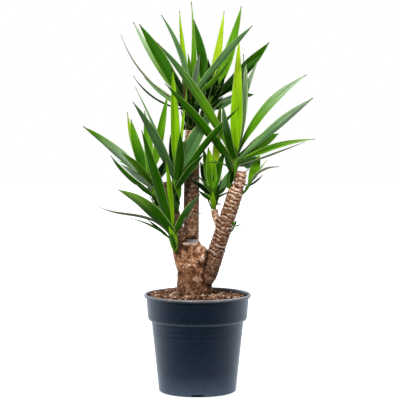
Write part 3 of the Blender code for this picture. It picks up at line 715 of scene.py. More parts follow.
@dataclass(frozen=True)
class ShootGrower:
    """The tree that sweeps a folded blade section and a round stem section along a shoot's lines.

    The lines carry half_width, face_way, along, mark, length, stem and tint. Sizes are shares of the half
    width, and the spacing of the rings is in metres.
    """

    section_points: int = 16
    fold: float = 0.45
    fold_power: float = 1.2
    cup: float = 0.5
    cup_reach: float = 0.3
    thickness: float = 0.05
    edge_wave: float = 0.05
    waves: float = 2.5
    wave_shift: float = 40.0
    stem_points: int = 24
    ring_height: float = 0.05
    ring_spacing: float = 0.006
    crease_width: float = 0.02

    def carried(self, tree: NodeTree, name: str, kind: str = "FLOAT") -> NodeSocket:
        """Reads a value that the lines carry."""
        return add(tree, "GeometryNodeInputNamedAttribute", {"Name": name}, data_type=kind)

    def section(self, tree: NodeTree, sizes: NodeOutputs) -> NodeSocket:
        """Folds a flat ring into a blade's section.

        Args:
            tree: The tree.
            sizes: Its inputs.

        Returns:
            The section, which carries how far across each point lies.
        """
        ring = add(tree, "GeometryNodeCurvePrimitiveCircle", {
            "Resolution": sizes["Section Points"], "Radius": 1.0})
        place = add(tree, "GeometryNodeInputPosition")
        parts = add(tree, "ShaderNodeSeparateXYZ", {0: place}).node.outputs
        marked = add(tree, "GeometryNodeStoreNamedAttribute", {
            "Geometry": ring, "Name": "across", "Value": parts[1]}, data_type="FLOAT")
        aside = add(tree, "ShaderNodeMath", {0: parts[1]}, operation="ABSOLUTE")
        rise = add(tree, "ShaderNodeMath", {0: aside, 1: self.fold_power}, operation="POWER")
        depth = add(tree, "ShaderNodeMath", {0: parts[0], 1: sizes["Thickness"]}, operation="MULTIPLY")
        lift = add(tree, "ShaderNodeMath", {0: rise, 1: sizes["Fold"], 2: depth}, operation="MULTIPLY_ADD")
        folded = add(tree, "ShaderNodeCombineXYZ", {0: lift, 1: parts[1]})
        return add(tree, "GeometryNodeSetPosition", {"Geometry": marked, "Position": folded})

    def ripple(self, tree: NodeTree, sizes: NodeOutputs) -> NodeSocket:
        """Works out how a blade's edges wave and how its base cups round the stem.

        Args:
            tree: The tree.
            sizes: Its inputs.

        Returns:
            The offset of each point.
        """
        across, along = self.carried(tree, "across"), self.carried(tree, "along")
        half_width = self.carried(tree, "half_width")
        turns = add(tree, "ShaderNodeMath", {0: sizes["Waves"], 1: math.tau}, operation="MULTIPLY")
        phase = add(tree, "ShaderNodeMath", {0: self.carried(tree, "mark"), 1: self.wave_shift, 2: across},
                    operation="MULTIPLY_ADD")
        phase = add(tree, "ShaderNodeMath", {0: along, 1: turns, 2: phase}, operation="MULTIPLY_ADD")
        wave = add(tree, "ShaderNodeMath", {0: phase}, operation="SINE")
        for factor in (across, across, sizes["Edge Wave"], half_width):
            wave = add(tree, "ShaderNodeMath", {0: wave, 1: factor}, operation="MULTIPLY")
        aside = add(tree, "ShaderNodeMath", {0: across}, operation="ABSOLUTE")
        clasp = add(tree, "ShaderNodeMapRange", {
            0: along, 1: 0.0, 2: self.cup_reach, 3: sizes["Cup"], 4: 0.0})
        for factor in (aside, half_width):
            clasp = add(tree, "ShaderNodeMath", {0: clasp, 1: factor}, operation="MULTIPLY")
        lifted = add(tree, "ShaderNodeMath", {0: wave, 1: clasp}, operation="ADD")
        return add(tree, "ShaderNodeVectorMath", {
            0: self.carried(tree, "face_way", "FLOAT_VECTOR"), "Scale": lifted}, operation="SCALE")

    def blades(self, tree: NodeTree, sizes: NodeOutputs, chains: NodeSocket) -> NodeSocket:
        """Sweeps the folded section along the midribs.

        Args:
            tree: The tree.
            sizes: Its inputs.
            chains: The midribs as edges.

        Returns:
            The blades.
        """
        lines = add(tree, "GeometryNodeMeshToCurve", {0: chains})
        lines = add(tree, "GeometryNodeSetCurveNormal", {
            "Curve": lines, "Normal": self.carried(tree, "face_way", "FLOAT_VECTOR")}, mode="FREE")
        swept = add(tree, "GeometryNodeCurveToMesh", {
            "Curve": lines, "Profile Curve": self.section(tree, sizes),
            "Scale": self.carried(tree, "half_width"), "Fill Caps": True})
        return add(tree, "GeometryNodeSetPosition", {"Geometry": swept, "Offset": self.ripple(tree, sizes)})

    def stem(self, tree: NodeTree, sizes: NodeOutputs, chain: NodeSocket) -> NodeSocket:
        """Sweeps a round section along the stem's axis and raises its rings.

        Args:
            tree: The tree.
            sizes: Its inputs.
            chain: The axis as edges.

        Returns:
            The stem.
        """
        round_section = add(tree, "GeometryNodeCurvePrimitiveCircle", {
            "Resolution": sizes["Stem Points"], "Radius": 1.0})
        axis = add(tree, "GeometryNodeMeshToCurve", {0: chain})
        stem = add(tree, "GeometryNodeCurveToMesh", {
            "Curve": axis, "Profile Curve": round_section, "Scale": self.carried(tree, "half_width"),
            "Fill Caps": True})
        swell = self.carried(tree, "along")
        for factor, operation in ((self.carried(tree, "length"), "MULTIPLY"),
                                  (sizes["Ring Spacing"], "DIVIDE"), (math.tau, "MULTIPLY")):
            swell = add(tree, "ShaderNodeMath", {0: swell, 1: factor}, operation=operation)
        swell = add(tree, "ShaderNodeMath", {0: swell}, operation="SINE")
        for factor in (sizes["Ring Height"], self.carried(tree, "half_width")):
            swell = add(tree, "ShaderNodeMath", {0: swell, 1: factor}, operation="MULTIPLY")
        outward = add(tree, "GeometryNodeInputNormal")
        proud = add(tree, "ShaderNodeVectorMath", {0: outward, "Scale": swell}, operation="SCALE")
        return add(tree, "GeometryNodeSetPosition", {"Geometry": stem, "Offset": proud})

    def shaded(self, tree: NodeTree, shoot: NodeSocket) -> NodeSocket:
        """Smooths the shoot, with a sharp crease along each midrib.

        Args:
            tree: The tree.
            shoot: The stem and the blades.

        Returns:
            The same with its shading.
        """
        smooth = add(tree, "GeometryNodeSetShadeSmooth", {"Geometry": shoot}, domain="FACE")
        off_middle = add(tree, "ShaderNodeMath", {0: self.carried(tree, "across")}, operation="ABSOLUTE")
        on_blade = add(tree, "ShaderNodeMath", {0: off_middle, 1: self.carried(tree, "stem")},
                       operation="ADD")
        crease = add(tree, "FunctionNodeCompare", {0: on_blade, 1: self.crease_width}, data_type="FLOAT",
                     operation="LESS_THAN")
        return add(tree, "GeometryNodeSetShadeSmooth", {
            "Geometry": smooth, "Selection": crease, "Shade Smooth": False}, domain="EDGE")

    def tree(self) -> NodeTree:
        """Builds the whole tree.

        Returns:
            The tree.
        """
        tree, sizes = new_grower("grow_shoot", {
            "Section Points": ("NodeSocketInt", self.section_points), "Fold": ("NodeSocketFloat", self.fold),
            "Cup": ("NodeSocketFloat", self.cup), "Thickness": ("NodeSocketFloat", self.thickness),
            "Edge Wave": ("NodeSocketFloat", self.edge_wave), "Waves": ("NodeSocketFloat", self.waves),
            "Stem Points": ("NodeSocketInt", self.stem_points),
            "Ring Height": ("NodeSocketFloat", self.ring_height),
            "Ring Spacing": ("NodeSocketFloat", self.ring_spacing),
            "Leaf": ("NodeSocketMaterial", None), "Stem": ("NodeSocketMaterial", None),
        })
        parted = add(tree, "GeometryNodeSeparateGeometry", {
            "Geometry": sizes["Geometry"], "Selection": self.carried(tree, "stem")}, domain="POINT").node
        joined = add(tree, "GeometryNodeJoinGeometry").node
        for piece in (self.stem(tree, sizes, parted.outputs["Selection"]),
                      self.blades(tree, sizes, parted.outputs["Inverted"])):
            tree.links.new(piece, joined.inputs[0])
        real = add(tree, "GeometryNodeRealizeInstances", {"Geometry": self.shaded(tree, joined.outputs[0])})
        dressed = add(tree, "GeometryNodeSetMaterial", {"Geometry": real, "Material": sizes["Leaf"]})
        dressed = add(tree, "GeometryNodeSetMaterial", {
            "Geometry": dressed, "Selection": self.carried(tree, "stem"), "Material": sizes["Stem"]})
        add(tree, "NodeGroupOutput", {0: dressed})
        return tree


@dataclass
class Shoot:
    """One leafy shoot: its stem, its blades as the front shows them, and the rules for its far side.

    Attributes:
        core: The stem's line: two places in the wood, its foot, its crown and its bud.
        leaves: The blades that the front shows.
        back: How many blades the far side has.
        back_way: The angle that they spread round, in degrees from the right.
        spread: How far they spread to each side of it, in degrees.
        reach: Their greatest length.
        seed: The seed of their draws.
        stem_kind: What the stem is covered with.
        sheaths: How many old leaf bases wrap the stem.
        sheath_length: Their length.
        sheath_lean: How far they lean off the stem.
        sheath_width: Their width, in radii of the crown.
        sheath_proud: How far off the axis they are rooted, in radii of the crown.
        sheath_tones: Their colours, one after the other.
        stem_share: How thick the stem looks, as a share of its line's radii.
        stations: How many points a blade has along its length.
        shoot_axis: The way that the blades' upper faces look towards.
        seat_margin: A blade this close to the axis at its tip is rooted nearer to it.
        turn_done: The share of its length after which a blade has its full turn.
        tip_width: The least width of a blade.
        sway_scale: Makes a blade's sway the most that it leaves its line by.
        golden_share: How far round the next blade stands, as a share of a full turn.
        twist: The most that a blade's tip is twisted, in radians.
        far_rise: How steep the far blades start, how much of it they lose and how much they vary, in degrees.
        far_seat: How high on the stem the far blades start, and how much lower the last one is.
        far_shortest: The shortest far blade, as a share of the reach.
        far_sag: The least and the greatest bow of a far blade, as shares of its length.
        far_width: Its width, as a share of its length.
        tip_blend: Where the tip's colour starts, and over what share of the length it takes over.
    """

    core: Knots
    leaves: tuple[Leaf, ...]
    back: int = 0
    back_way: float = 0.0
    spread: float = 0.0
    reach: float = 0.0
    seed: int = 0
    stem_kind: StemKind = StemKind.FRESH
    sheaths: int = 11
    sheath_length: float = 46.0
    sheath_lean: float = 0.24
    sheath_width: float = 2.2
    sheath_proud: float = 1.3
    sheath_tones: tuple[Tone, ...] = (Tone.DEEP, Tone.MID, Tone.SHADED)
    stem_share: float = 0.8
    stations: int = 30
    shoot_axis: Triple = (0.02, 0.05, 1.0)
    seat_margin: float = 20.0
    turn_done: float = 0.35
    tip_width: float = 2.1
    sway_scale: float = 10.4
    golden_share: float = 0.618
    twist: float = 0.12
    far_rise: Triple = (40.0, 30.0, 4.0)
    far_seat: Pair = (0.95, 0.5)
    far_shortest: float = 0.8
    far_sag: Pair = (0.02, 0.07)
    far_width: float = 0.11
    tip_blend: Pair = (0.45, 0.4)

    def seat(self, share: float) -> np.ndarray:
        """Gives a point on the stem between its foot and its crown."""
        foot, crown = (np.array(self.core[index][0], float) for index in (2, 3))
        return foot + (crown - foot) * share

    def far_leaves(self, name: str) -> list[Leaf]:
        """Spreads the blades of the far side, from high and steep to low and flat.

        Args:
            name: The shoot's node, which seeds its draws.

        Returns:
            The blades.
        """
        draw = random.Random(f"{self.seed} {name}")
        made = []
        for index in range(self.back):
            share = (index + 0.5) / self.back
            side = 2 * ((index * self.golden_share) % 1.0) - 1
            azimuth = math.radians(self.back_way + side * self.spread)
            steep, fall, vary = self.far_rise
            rise = math.radians(steep - fall * share + draw.uniform(-vary, vary))
            length = self.reach * draw.uniform(self.far_shortest, 1.0)
            seat = self.far_seat[0] - self.far_seat[1] * share
            flat = math.cos(rise)
            way = np.array((math.cos(azimuth) * flat, math.sin(azimuth) * flat, math.sin(rise)))
            tip = self.seat(seat) + way * length
            sag = length * draw.uniform(*self.far_sag)
            tone = (Tone.DEEP, Tone.MID)[index % 2]
            made.append(Leaf(tuple(tip), (0, 0, sag), seat, length * self.far_width, 0.0, tone))
        return made

    def stem_sheaths(self, name: str) -> list[Leaf]:
        """Wraps the stem in short old leaf bases that turn round it by the golden angle.

        Args:
            name: The shoot's node, which seeds its draws.

        Returns:
            The leaf bases as short blades.
        """
        draw = random.Random(f"sheaths {name}")
        axis = unit(self.seat(1.0) - self.seat(0.0))
        across = unit(np.cross(axis, (0.0, 1.0, 0.0)))
        away = np.cross(axis, across)
        width = self.sheath_width * self.core[3][1]
        wood, foot, crown = (np.array(self.core[index][0], float) for index in (1, 2, 3))
        lowest = -float(np.linalg.norm(foot - wood) / np.linalg.norm(crown - foot))
        made = []
        for index in range(self.sheaths):
            turn = index * math.tau * self.golden_share
            seat = lowest + (0.8 - lowest) * index / self.sheaths
            outward = across * math.cos(turn) + away * math.sin(turn)
            way = axis + outward * self.sheath_lean * draw.uniform(0.7, 1.2)
            tip = self.seat(seat) + unit(way) * self.sheath_length * draw.uniform(0.7, 1.1)
            tone = self.sheath_tones[index % len(self.sheath_tones)]
            made.append(Leaf(tuple(tip), (0, 0, 0), seat, width, 0.0, tone, widest=0.3,
                             proud=self.sheath_proud))
        return made

    def half_width(self, leaf: Leaf, share: np.ndarray) -> np.ndarray:
        """Gives half a blade's width: narrow at its base, widest near its middle, then a long point.

        Args:
            leaf: The blade.
            share: Places along it, from 0 to 1.

        Returns:
            Half the width at each place.
        """
        rising = np.sin(math.pi / 2 * np.minimum(share / leaf.widest, 1.0)) ** 1.3
        falling = np.clip((share - leaf.widest) / (1 - leaf.widest), 0.0, 1.0) ** leaf.point
        full = np.where(share < leaf.widest, leaf.heel + (1 - leaf.heel) * rising, 1 - falling)
        return np.maximum(leaf.width * full, self.tip_width) / 2

    def blade(self, leaf: Leaf, mark: float) -> Strand:
        """Lays out one blade's midrib.

        Args:
            leaf: The blade.
            mark: A random number that sets its veins and waves apart from its neighbours'.

        Returns:
            The line with the way that its upper face looks, its width and its colours.
        """
        tip = np.array(leaf.tip, float)
        root = self.seat(leaf.seat)
        outward = (tip - root) * (1.0, 1.0, 0.0)
        root = root + outward / max(np.linalg.norm(outward), self.seat_margin) * self.core[3][1] * leaf.proud
        chord = unit(tip - root)
        inward = unit(np.cross(np.cross(chord, self.shoot_axis), chord))
        front = np.array((0.0, -1.0 if tip[1] > root[1] else 1.0, 0.0))
        share = np.linspace(0.0, 1.0, self.stations)[:, None]
        bow, sway = np.array(leaf.bow, float), np.array(leaf.sway, float)
        wave = self.sway_scale * share * (1 - share) * (1 - 2 * share)
        slope = self.sway_scale * (1 - 6 * share + 6 * share ** 2)
        points = root + (tip - root) * share + bow * 4 * share * (1 - share) + sway * wave
        along = unit(tip - root + bow * 4 * (1 - 2 * share) + sway * slope)
        turn = leaf.show * (leaf.turned + (1 - leaf.turned) * np.minimum(1.0, share / self.turn_done))
        face = inward * (1 - turn) + front * turn
        face = unit(face - along * np.sum(face * along, axis=1, keepdims=True))
        aside = np.cross(along, face)
        lean = self.twist * (2 * mark - 1) * share ** 2
        face = unit(face * np.cos(lean) + aside * np.sin(lean))
        start, end = (np.array(linear(tone.value)) for tone in (leaf.tone, leaf.tip_tone or leaf.tone))
        blend = np.clip((share - self.tip_blend[0]) / self.tip_blend[1], 0.0, 1.0)
        length = float(np.linalg.norm(tip - root)) * MM
        same = np.ones(self.stations)
        return Strand(points, {
            "half_width": self.half_width(leaf, share[:, 0]) * MM, "face_way": face, "along": share[:, 0],
            "mark": same * mark, "length": same * length, "stem": same * 0.0,
            "tint": start + (end - start) * blend,
        })

    def stem(self) -> Strand:
        """Lays out the stem's axis, from the peg hidden in the wood to the bud.

        Returns:
            The line with its values.
        """
        points, radii = route(self.core, 2.5)
        steps = np.linalg.norm(np.diff(points, axis=0), axis=1)
        reach = np.concatenate(([0.0], np.cumsum(steps)))
        same = np.ones(len(points))
        old = 1.0 if self.stem_kind is StemKind.SCARRED else 0.25
        return Strand(points, {
            "half_width": radii * self.stem_share * MM,
            "face_way": np.tile((0.0, 1.0, 0.0), (len(points), 1)),
            "along": reach / reach[-1], "mark": same * old, "length": same * reach[-1] * MM, "stem": same,
            "tint": np.tile(linear(self.stem_kind.value), (len(points), 1)),
        })

    def build(self, name: str, grower: NodeTree, leaf: Material, stem: Material) -> Object:
        """Grows the shoot in place of its CAD node.

        Args:
            name: The node's name.
            grower: The tree that sweeps blades and stem.
            leaf: The blades' material.
            stem: The stem's material.

        Returns:
            The finished piece.
        """
        draw = random.Random(f"marks {name}")
        grown = (*self.leaves, *self.far_leaves(name), *self.stem_sheaths(name))
        blades = [self.blade(item, draw.random()) for item in grown]
        made = strand_object(f"{name}_fine", [self.stem(), *blades])
        return grow(made, grower, {"Leaf": leaf, "Stem": stem})


@dataclass
class Cane:
    """One woody axis: its line, how pale its bark is from foot to top, and its leaf scars.

    The paleness is partly the bark's own tone and partly painted shade where leaves shade the cane, darkest
    at the left cane's top.
    """

    knots: Knots
    pale: tuple[float, ...]
    scar_spacing: float
    scar_proud: float
    scallop: float
    smooth_foot: float
    seed: int

    def relief(self, along: np.ndarray, turn: np.ndarray) -> np.ndarray:
        """Works out how proud the bark stands.

        Args:
            along: Distance up the cane in millimetres.
            turn: Angle round the cane.

        Returns:
            The relief, from about -1 in a crease to 1 on a scar's lip.
        """
        draw = random.Random(self.seed)
        first, second, third = (draw.uniform(0, math.tau) for _ in range(3))
        drift = 1.6 * np.sin(turn + first) + 1.1 * np.sin(2 * turn + second + along / 17)
        # Each row of scars is turned by a number that looks random but is always the same for that row
        row = np.floor((along + drift) / self.scar_spacing)
        shift = np.sin(row * 12.9898 + self.seed) * 43758.5453
        phase = (shift - np.floor(shift)) * math.tau
        scallop = self.scallop * (np.abs(np.sin(1.5 * turn + phase)) + 0.45 * np.sin(4 * turn + 2 * phase))
        place = (along + drift + scallop) / self.scar_spacing
        share = place - np.floor(place)
        lip = np.exp(-((share - 0.5) / 0.12) ** 2)
        under = np.exp(-((share - 0.86) / 0.12) ** 2)
        strength = 0.55 + 0.45 * np.sin(2 * turn + 3 * phase + third)
        grown = np.clip((along - self.smooth_foot) / 24.0, 0.0, 1.0)
        return (lip * strength - 0.75 * under * (0.4 + 0.6 * strength)) * grown


@dataclass
class Trunk:
    """The wood: a gnarled stump with a sawn top, three canes and a short stub, all grown together."""

    stump: Knots
    canes: tuple[Cane, ...]
    swellings: tuple[tuple[Triple, Triple], ...]
    cut_centre: Triple = (-16.3, -1.0, 341.0)
    cut_radius: float = 20.0
    cut_lean: float = 10.0
    swirl: Triple = (1.0, -21.0, 264.0)
    swirl_radius: float = 8.5
    voxel: float = 1.5
    rounds: int = 5
    sides: int = 40
    step: float = 4.0
    knob_height: float = 2.0
    grain_height: float = 0.8
    crease_rounds: int = 30
    knob_size: float = 17.0
    lump_size: float = 6.5
    grain_size: float = 2.6
    lump_heights: Pair = (0.6, 0.5)
    swirl_ring: float = 4.9
    swirl_drift: float = 0.35
    swirl_width: float = 1.1
    swirl_height: float = 0.9
    stump_relief: Triple = (0.5, 0.3, 0.2)
    cane_relief: Triple = (0.5, 0.36, 0.32)
    scar_fade: Pair = (0.85, 1.1)
    swirl_relief: Pair = (0.28, 0.42)
    grain_relief: float = 0.12
    crease_shade_gain: float = -0.26
    crease_shade_span: Pair = (-0.45, 0.28)
    sawn_level: float = 0.85
    sawn_edge: float = 1.5
    sawn_flat: float = 0.85

    def tube(self, knots: Knots, name: str) -> Object:
        """Makes one capped tube along knots.

        Args:
            knots: Places and radii of its axis.
            name: The object's name.

        Returns:
            The closed tube.
        """
        places, radii = route(knots, self.step)
        along = unit(np.gradient(places, axis=0))
        across = unit(np.cross((0.0, 1.0, 0.0), along))
        away = np.cross(along, across)
        angles = np.arange(self.sides) * math.tau / self.sides
        outward = (across[:, None] * np.cos(angles)[None, :, None]
                   + away[:, None] * np.sin(angles)[None, :, None])
        rings = places[:, None] + radii[:, None, None] * outward
        return mesh_object(name, rings.reshape(-1, 3), ring_faces(len(places), self.sides))

    def swelling(self, centre: Sequence[float], half_sizes: Sequence[float], index: int) -> Object:
        """Makes one rounded lump of the stump.

        Args:
            centre: Its centre.
            half_sizes: How far it reaches each way.
            index: Its number.

        Returns:
            The lump.
        """
        shape = bmesh.new()
        bmesh.ops.create_icosphere(shape, subdivisions=4, radius=1.0)
        points = [np.array(vert.co) * half_sizes + centre for vert in shape.verts]
        faces = [tuple(vert.index for vert in face.verts) for face in shape.faces]
        shape.free()
        return mesh_object(f"lump_{index}", points, faces)

    def saw(self, stump: Object) -> None:
        """Saws the stump's top off flat, leaning to the front.

        Args:
            stump: The tube that is cut.
        """
        lean = math.radians(self.cut_lean)
        shape = bmesh.new()
        shape.from_mesh(stump.data)
        geometry = [*shape.verts, *shape.edges, *shape.faces]
        bmesh.ops.bisect_plane(shape, geom=geometry, plane_co=Vector(self.cut_centre) * MM,
                               plane_no=(0.0, -math.sin(lean), math.cos(lean)), clear_outer=True)
        bmesh.ops.holes_fill(shape, edges=[edge for edge in shape.edges if edge.is_boundary])
        shape.to_mesh(stump.data)
        shape.free()

    def merged(self) -> Object:
        """Grows the stump, the canes, the stub and the lumps into one smooth closed body.

        Returns:
            The body.
        """
        # The stump starts taller than its cut, so that the saw leaves a full face
        longer = self.stump + (((-17.5, -7.0, 352.0), 18.0),)
        wood = self.tube(longer, "trunk_fine")
        self.saw(wood)
        parts = [self.tube(cane.knots, f"cane_{cane.seed}") for cane in self.canes]
        parts += [self.swelling(*sizes, index) for index, sizes in enumerate(self.swellings)]
        shape = bmesh.new()
        for part in (wood, *parts):
            shape.from_mesh(part.data)
        shape.to_mesh(wood.data)
        shape.free()
        for part in parts:
            bpy.data.objects.remove(part)
        remesh = wood.modifiers.new("grow_together", "REMESH")
        remesh.mode = "VOXEL"
        remesh.voxel_size = self.voxel * MM
        remesh.use_smooth_shade = True
        smooth = wood.modifiers.new("round_over", "SMOOTH")
        smooth.factor = 0.5
        smooth.iterations = self.rounds
        return settle(wood)

    def nearest_axis(self, points: np.ndarray) -> tuple[np.ndarray, np.ndarray, np.ndarray]:
        """Finds which axis each point belongs to.

        Args:
            points: Points in millimetres.

        Returns:
            The number of the axis, with the stump as the last one, the distance along it and the turn
            round it.
        """
        best = np.full(len(points), 1e9)
        owner = np.zeros(len(points), int)
        along = np.zeros(len(points))
        turn = np.zeros(len(points))
        for index, knots in enumerate([cane.knots for cane in self.canes] + [self.stump]):
            places, radii = route(knots, self.step)
            steps = np.linalg.norm(np.diff(places, axis=0), axis=1)
            reach = np.concatenate(([0.0], np.cumsum(steps)))
            ways = unit(np.gradient(places, axis=0))
            gaps = np.stack([np.linalg.norm(points - place, axis=1) for place in places])
            near = np.argmin(gaps, axis=0)
            offset = points - places[near]
            ahead = np.sum(offset * ways[near], axis=1)
            side = offset - ahead[:, None] * ways[near]
            miss = np.abs(np.linalg.norm(side, axis=1) - radii[near])
            miss += np.maximum(np.abs(ahead) - self.step, 0.0)
            closer = miss < best
            best = np.where(closer, miss, best)
            owner = np.where(closer, index, owner)
            along = np.where(closer, reach[near] + ahead, along)
            turn = np.where(closer, np.arctan2(side[:, 1], side[:, 0]), turn)
        return owner, along, turn

    def sawn_faces(self, points: np.ndarray, normals: np.ndarray) -> np.ndarray:
        """Marks the sawn tops of the stump and the canes from 0 to 1.

        Args:
            points: Points in millimetres.
            normals: The way that each point faces.

        Returns:
            The marks.
        """
        level = normals[:, 2] > self.sawn_level
        marked = np.zeros(len(points))
        tops = [(self.cut_centre, self.cut_radius)]
        tops += [(cane.knots[-1][0], cane.knots[-1][1]) for cane in self.canes]
        for centre, radius in tops:
            gap = np.linalg.norm(points - centre, axis=1)
            marked = np.maximum(marked, level * np.clip((radius * 1.02 - gap) / self.sawn_edge, 0.0, 1.0))
        return marked

    def hollows(self, mesh: Mesh, points: np.ndarray, normals: np.ndarray) -> np.ndarray:
        """Measures how deep each point lies in a crease between lumps.

        Args:
            mesh: The smooth body.
            points: Its points in millimetres.
            normals: The way that each point faces.

        Returns:
            The depth in millimetres, which is negative on a bulge.
        """
        edges = np.zeros(len(mesh.edges) * 2, int)
        mesh.edges.foreach_get("vertices", edges)
        start, end = edges.reshape(-1, 2).T
        count = np.bincount(edges, minlength=len(points))[:, None]
        level = points
        for _ in range(self.crease_rounds):
            total = np.zeros_like(points)
            for axis in range(3):
                total[:, axis] = (np.bincount(start, level[end, axis], len(points))
                                  + np.bincount(end, level[start, axis], len(points)))
            level = total / count
        return np.sum((level - points) * normals, axis=1)

    def carve(self, wood: Object) -> None:
        """Raises the leaf scars, knobs, grain and the swirl, and writes what the bark's material reads.

        The swirl is one raised ring that doesn't close, in a smooth patch of the stump's front.

        Args:
            wood: The smooth body.
        """
        mesh = wood.data
        count = len(mesh.vertices)
        points, normals = (np.zeros(count * 3) for _ in range(2))
        mesh.vertices.foreach_get("co", points)
        mesh.vertex_normals.foreach_get("vector", normals)
        points, normals = points.reshape(-1, 3) / MM, normals.reshape(-1, 3)
        owner, along, turn = self.nearest_axis(points)
        knobs = np.array([noise.noise(Vector(point) / self.knob_size) for point in points])
        lumps = np.array([noise.noise(Vector(point) / self.lump_size) for point in points])
        grain = np.array([noise.noise(Vector(point * (1, 1, 0.6)) / self.grain_size) for point in points])
        on_stump = owner == len(self.canes)
        on_stump_lumps, on_cane_lumps = self.lump_heights
        heights = np.where(on_stump, knobs * self.knob_height + lumps * on_stump_lumps, lumps * on_cane_lumps)
        middle, from_knobs, from_lumps = self.stump_relief
        relief = np.where(on_stump, middle + from_knobs * knobs + from_lumps * lumps, 0.0)
        pale = np.where(on_stump, 1.0, 0.0)
        middle, from_scars, from_lumps = self.cane_relief
        for index, cane in enumerate(self.canes):
            mine = owner == index
            fade = self.scar_fade[0] + self.scar_fade[1] * lumps[mine]
            scars = cane.relief(along[mine], turn[mine]) * fade
            heights[mine] += scars * cane.scar_proud
            relief[mine] = middle + from_scars * cane.scar_proud * scars + from_lumps * lumps[mine]
            share = np.clip(along[mine] / np.max(along[mine]), 0.0, 1.0)
            pale[mine] = np.interp(share, np.linspace(0.0, 1.0, len(cane.pale)), cane.pale)
        gap = points - self.swirl
        span = np.linalg.norm(gap, axis=1)
        turned = np.arctan2(gap[:, 2], gap[:, 0])
        curl = np.exp(-((span - self.swirl_ring - self.swirl_drift * turned) / self.swirl_width) ** 2)
        inside = np.exp(-(span / self.swirl_radius) ** 4)
        heights += (curl * self.swirl_height - heights) * inside
        relief += (self.swirl_relief[0] + self.swirl_relief[1] * curl - relief) * inside
        heights += grain * self.grain_height
        # Painted shade in the creases between lumps and painted light on the lumps, from how deep each point
        # lies
        relief += np.clip(self.hollows(mesh, points, normals) * self.crease_shade_gain, *self.crease_shade_span)
        sawn = self.sawn_faces(points, normals)
        heights *= 1 - self.sawn_flat * sawn
        moved = points + normals * heights[:, None]
        mesh.vertices.foreach_set("co", (moved * MM).ravel())
        mesh.update()
        write_values(mesh, {"relief": relief + self.grain_relief * grain, "pale": pale, "sawn": sawn})

    def build(self, bark: Material) -> Object:
        """Builds the wood in place of its CAD node.

        Args:
            bark: The material.

        Returns:
            The finished piece.
        """
        wood = self.merged()
        self.carve(wood)
        wood.data.materials.append(bark)
        return wood


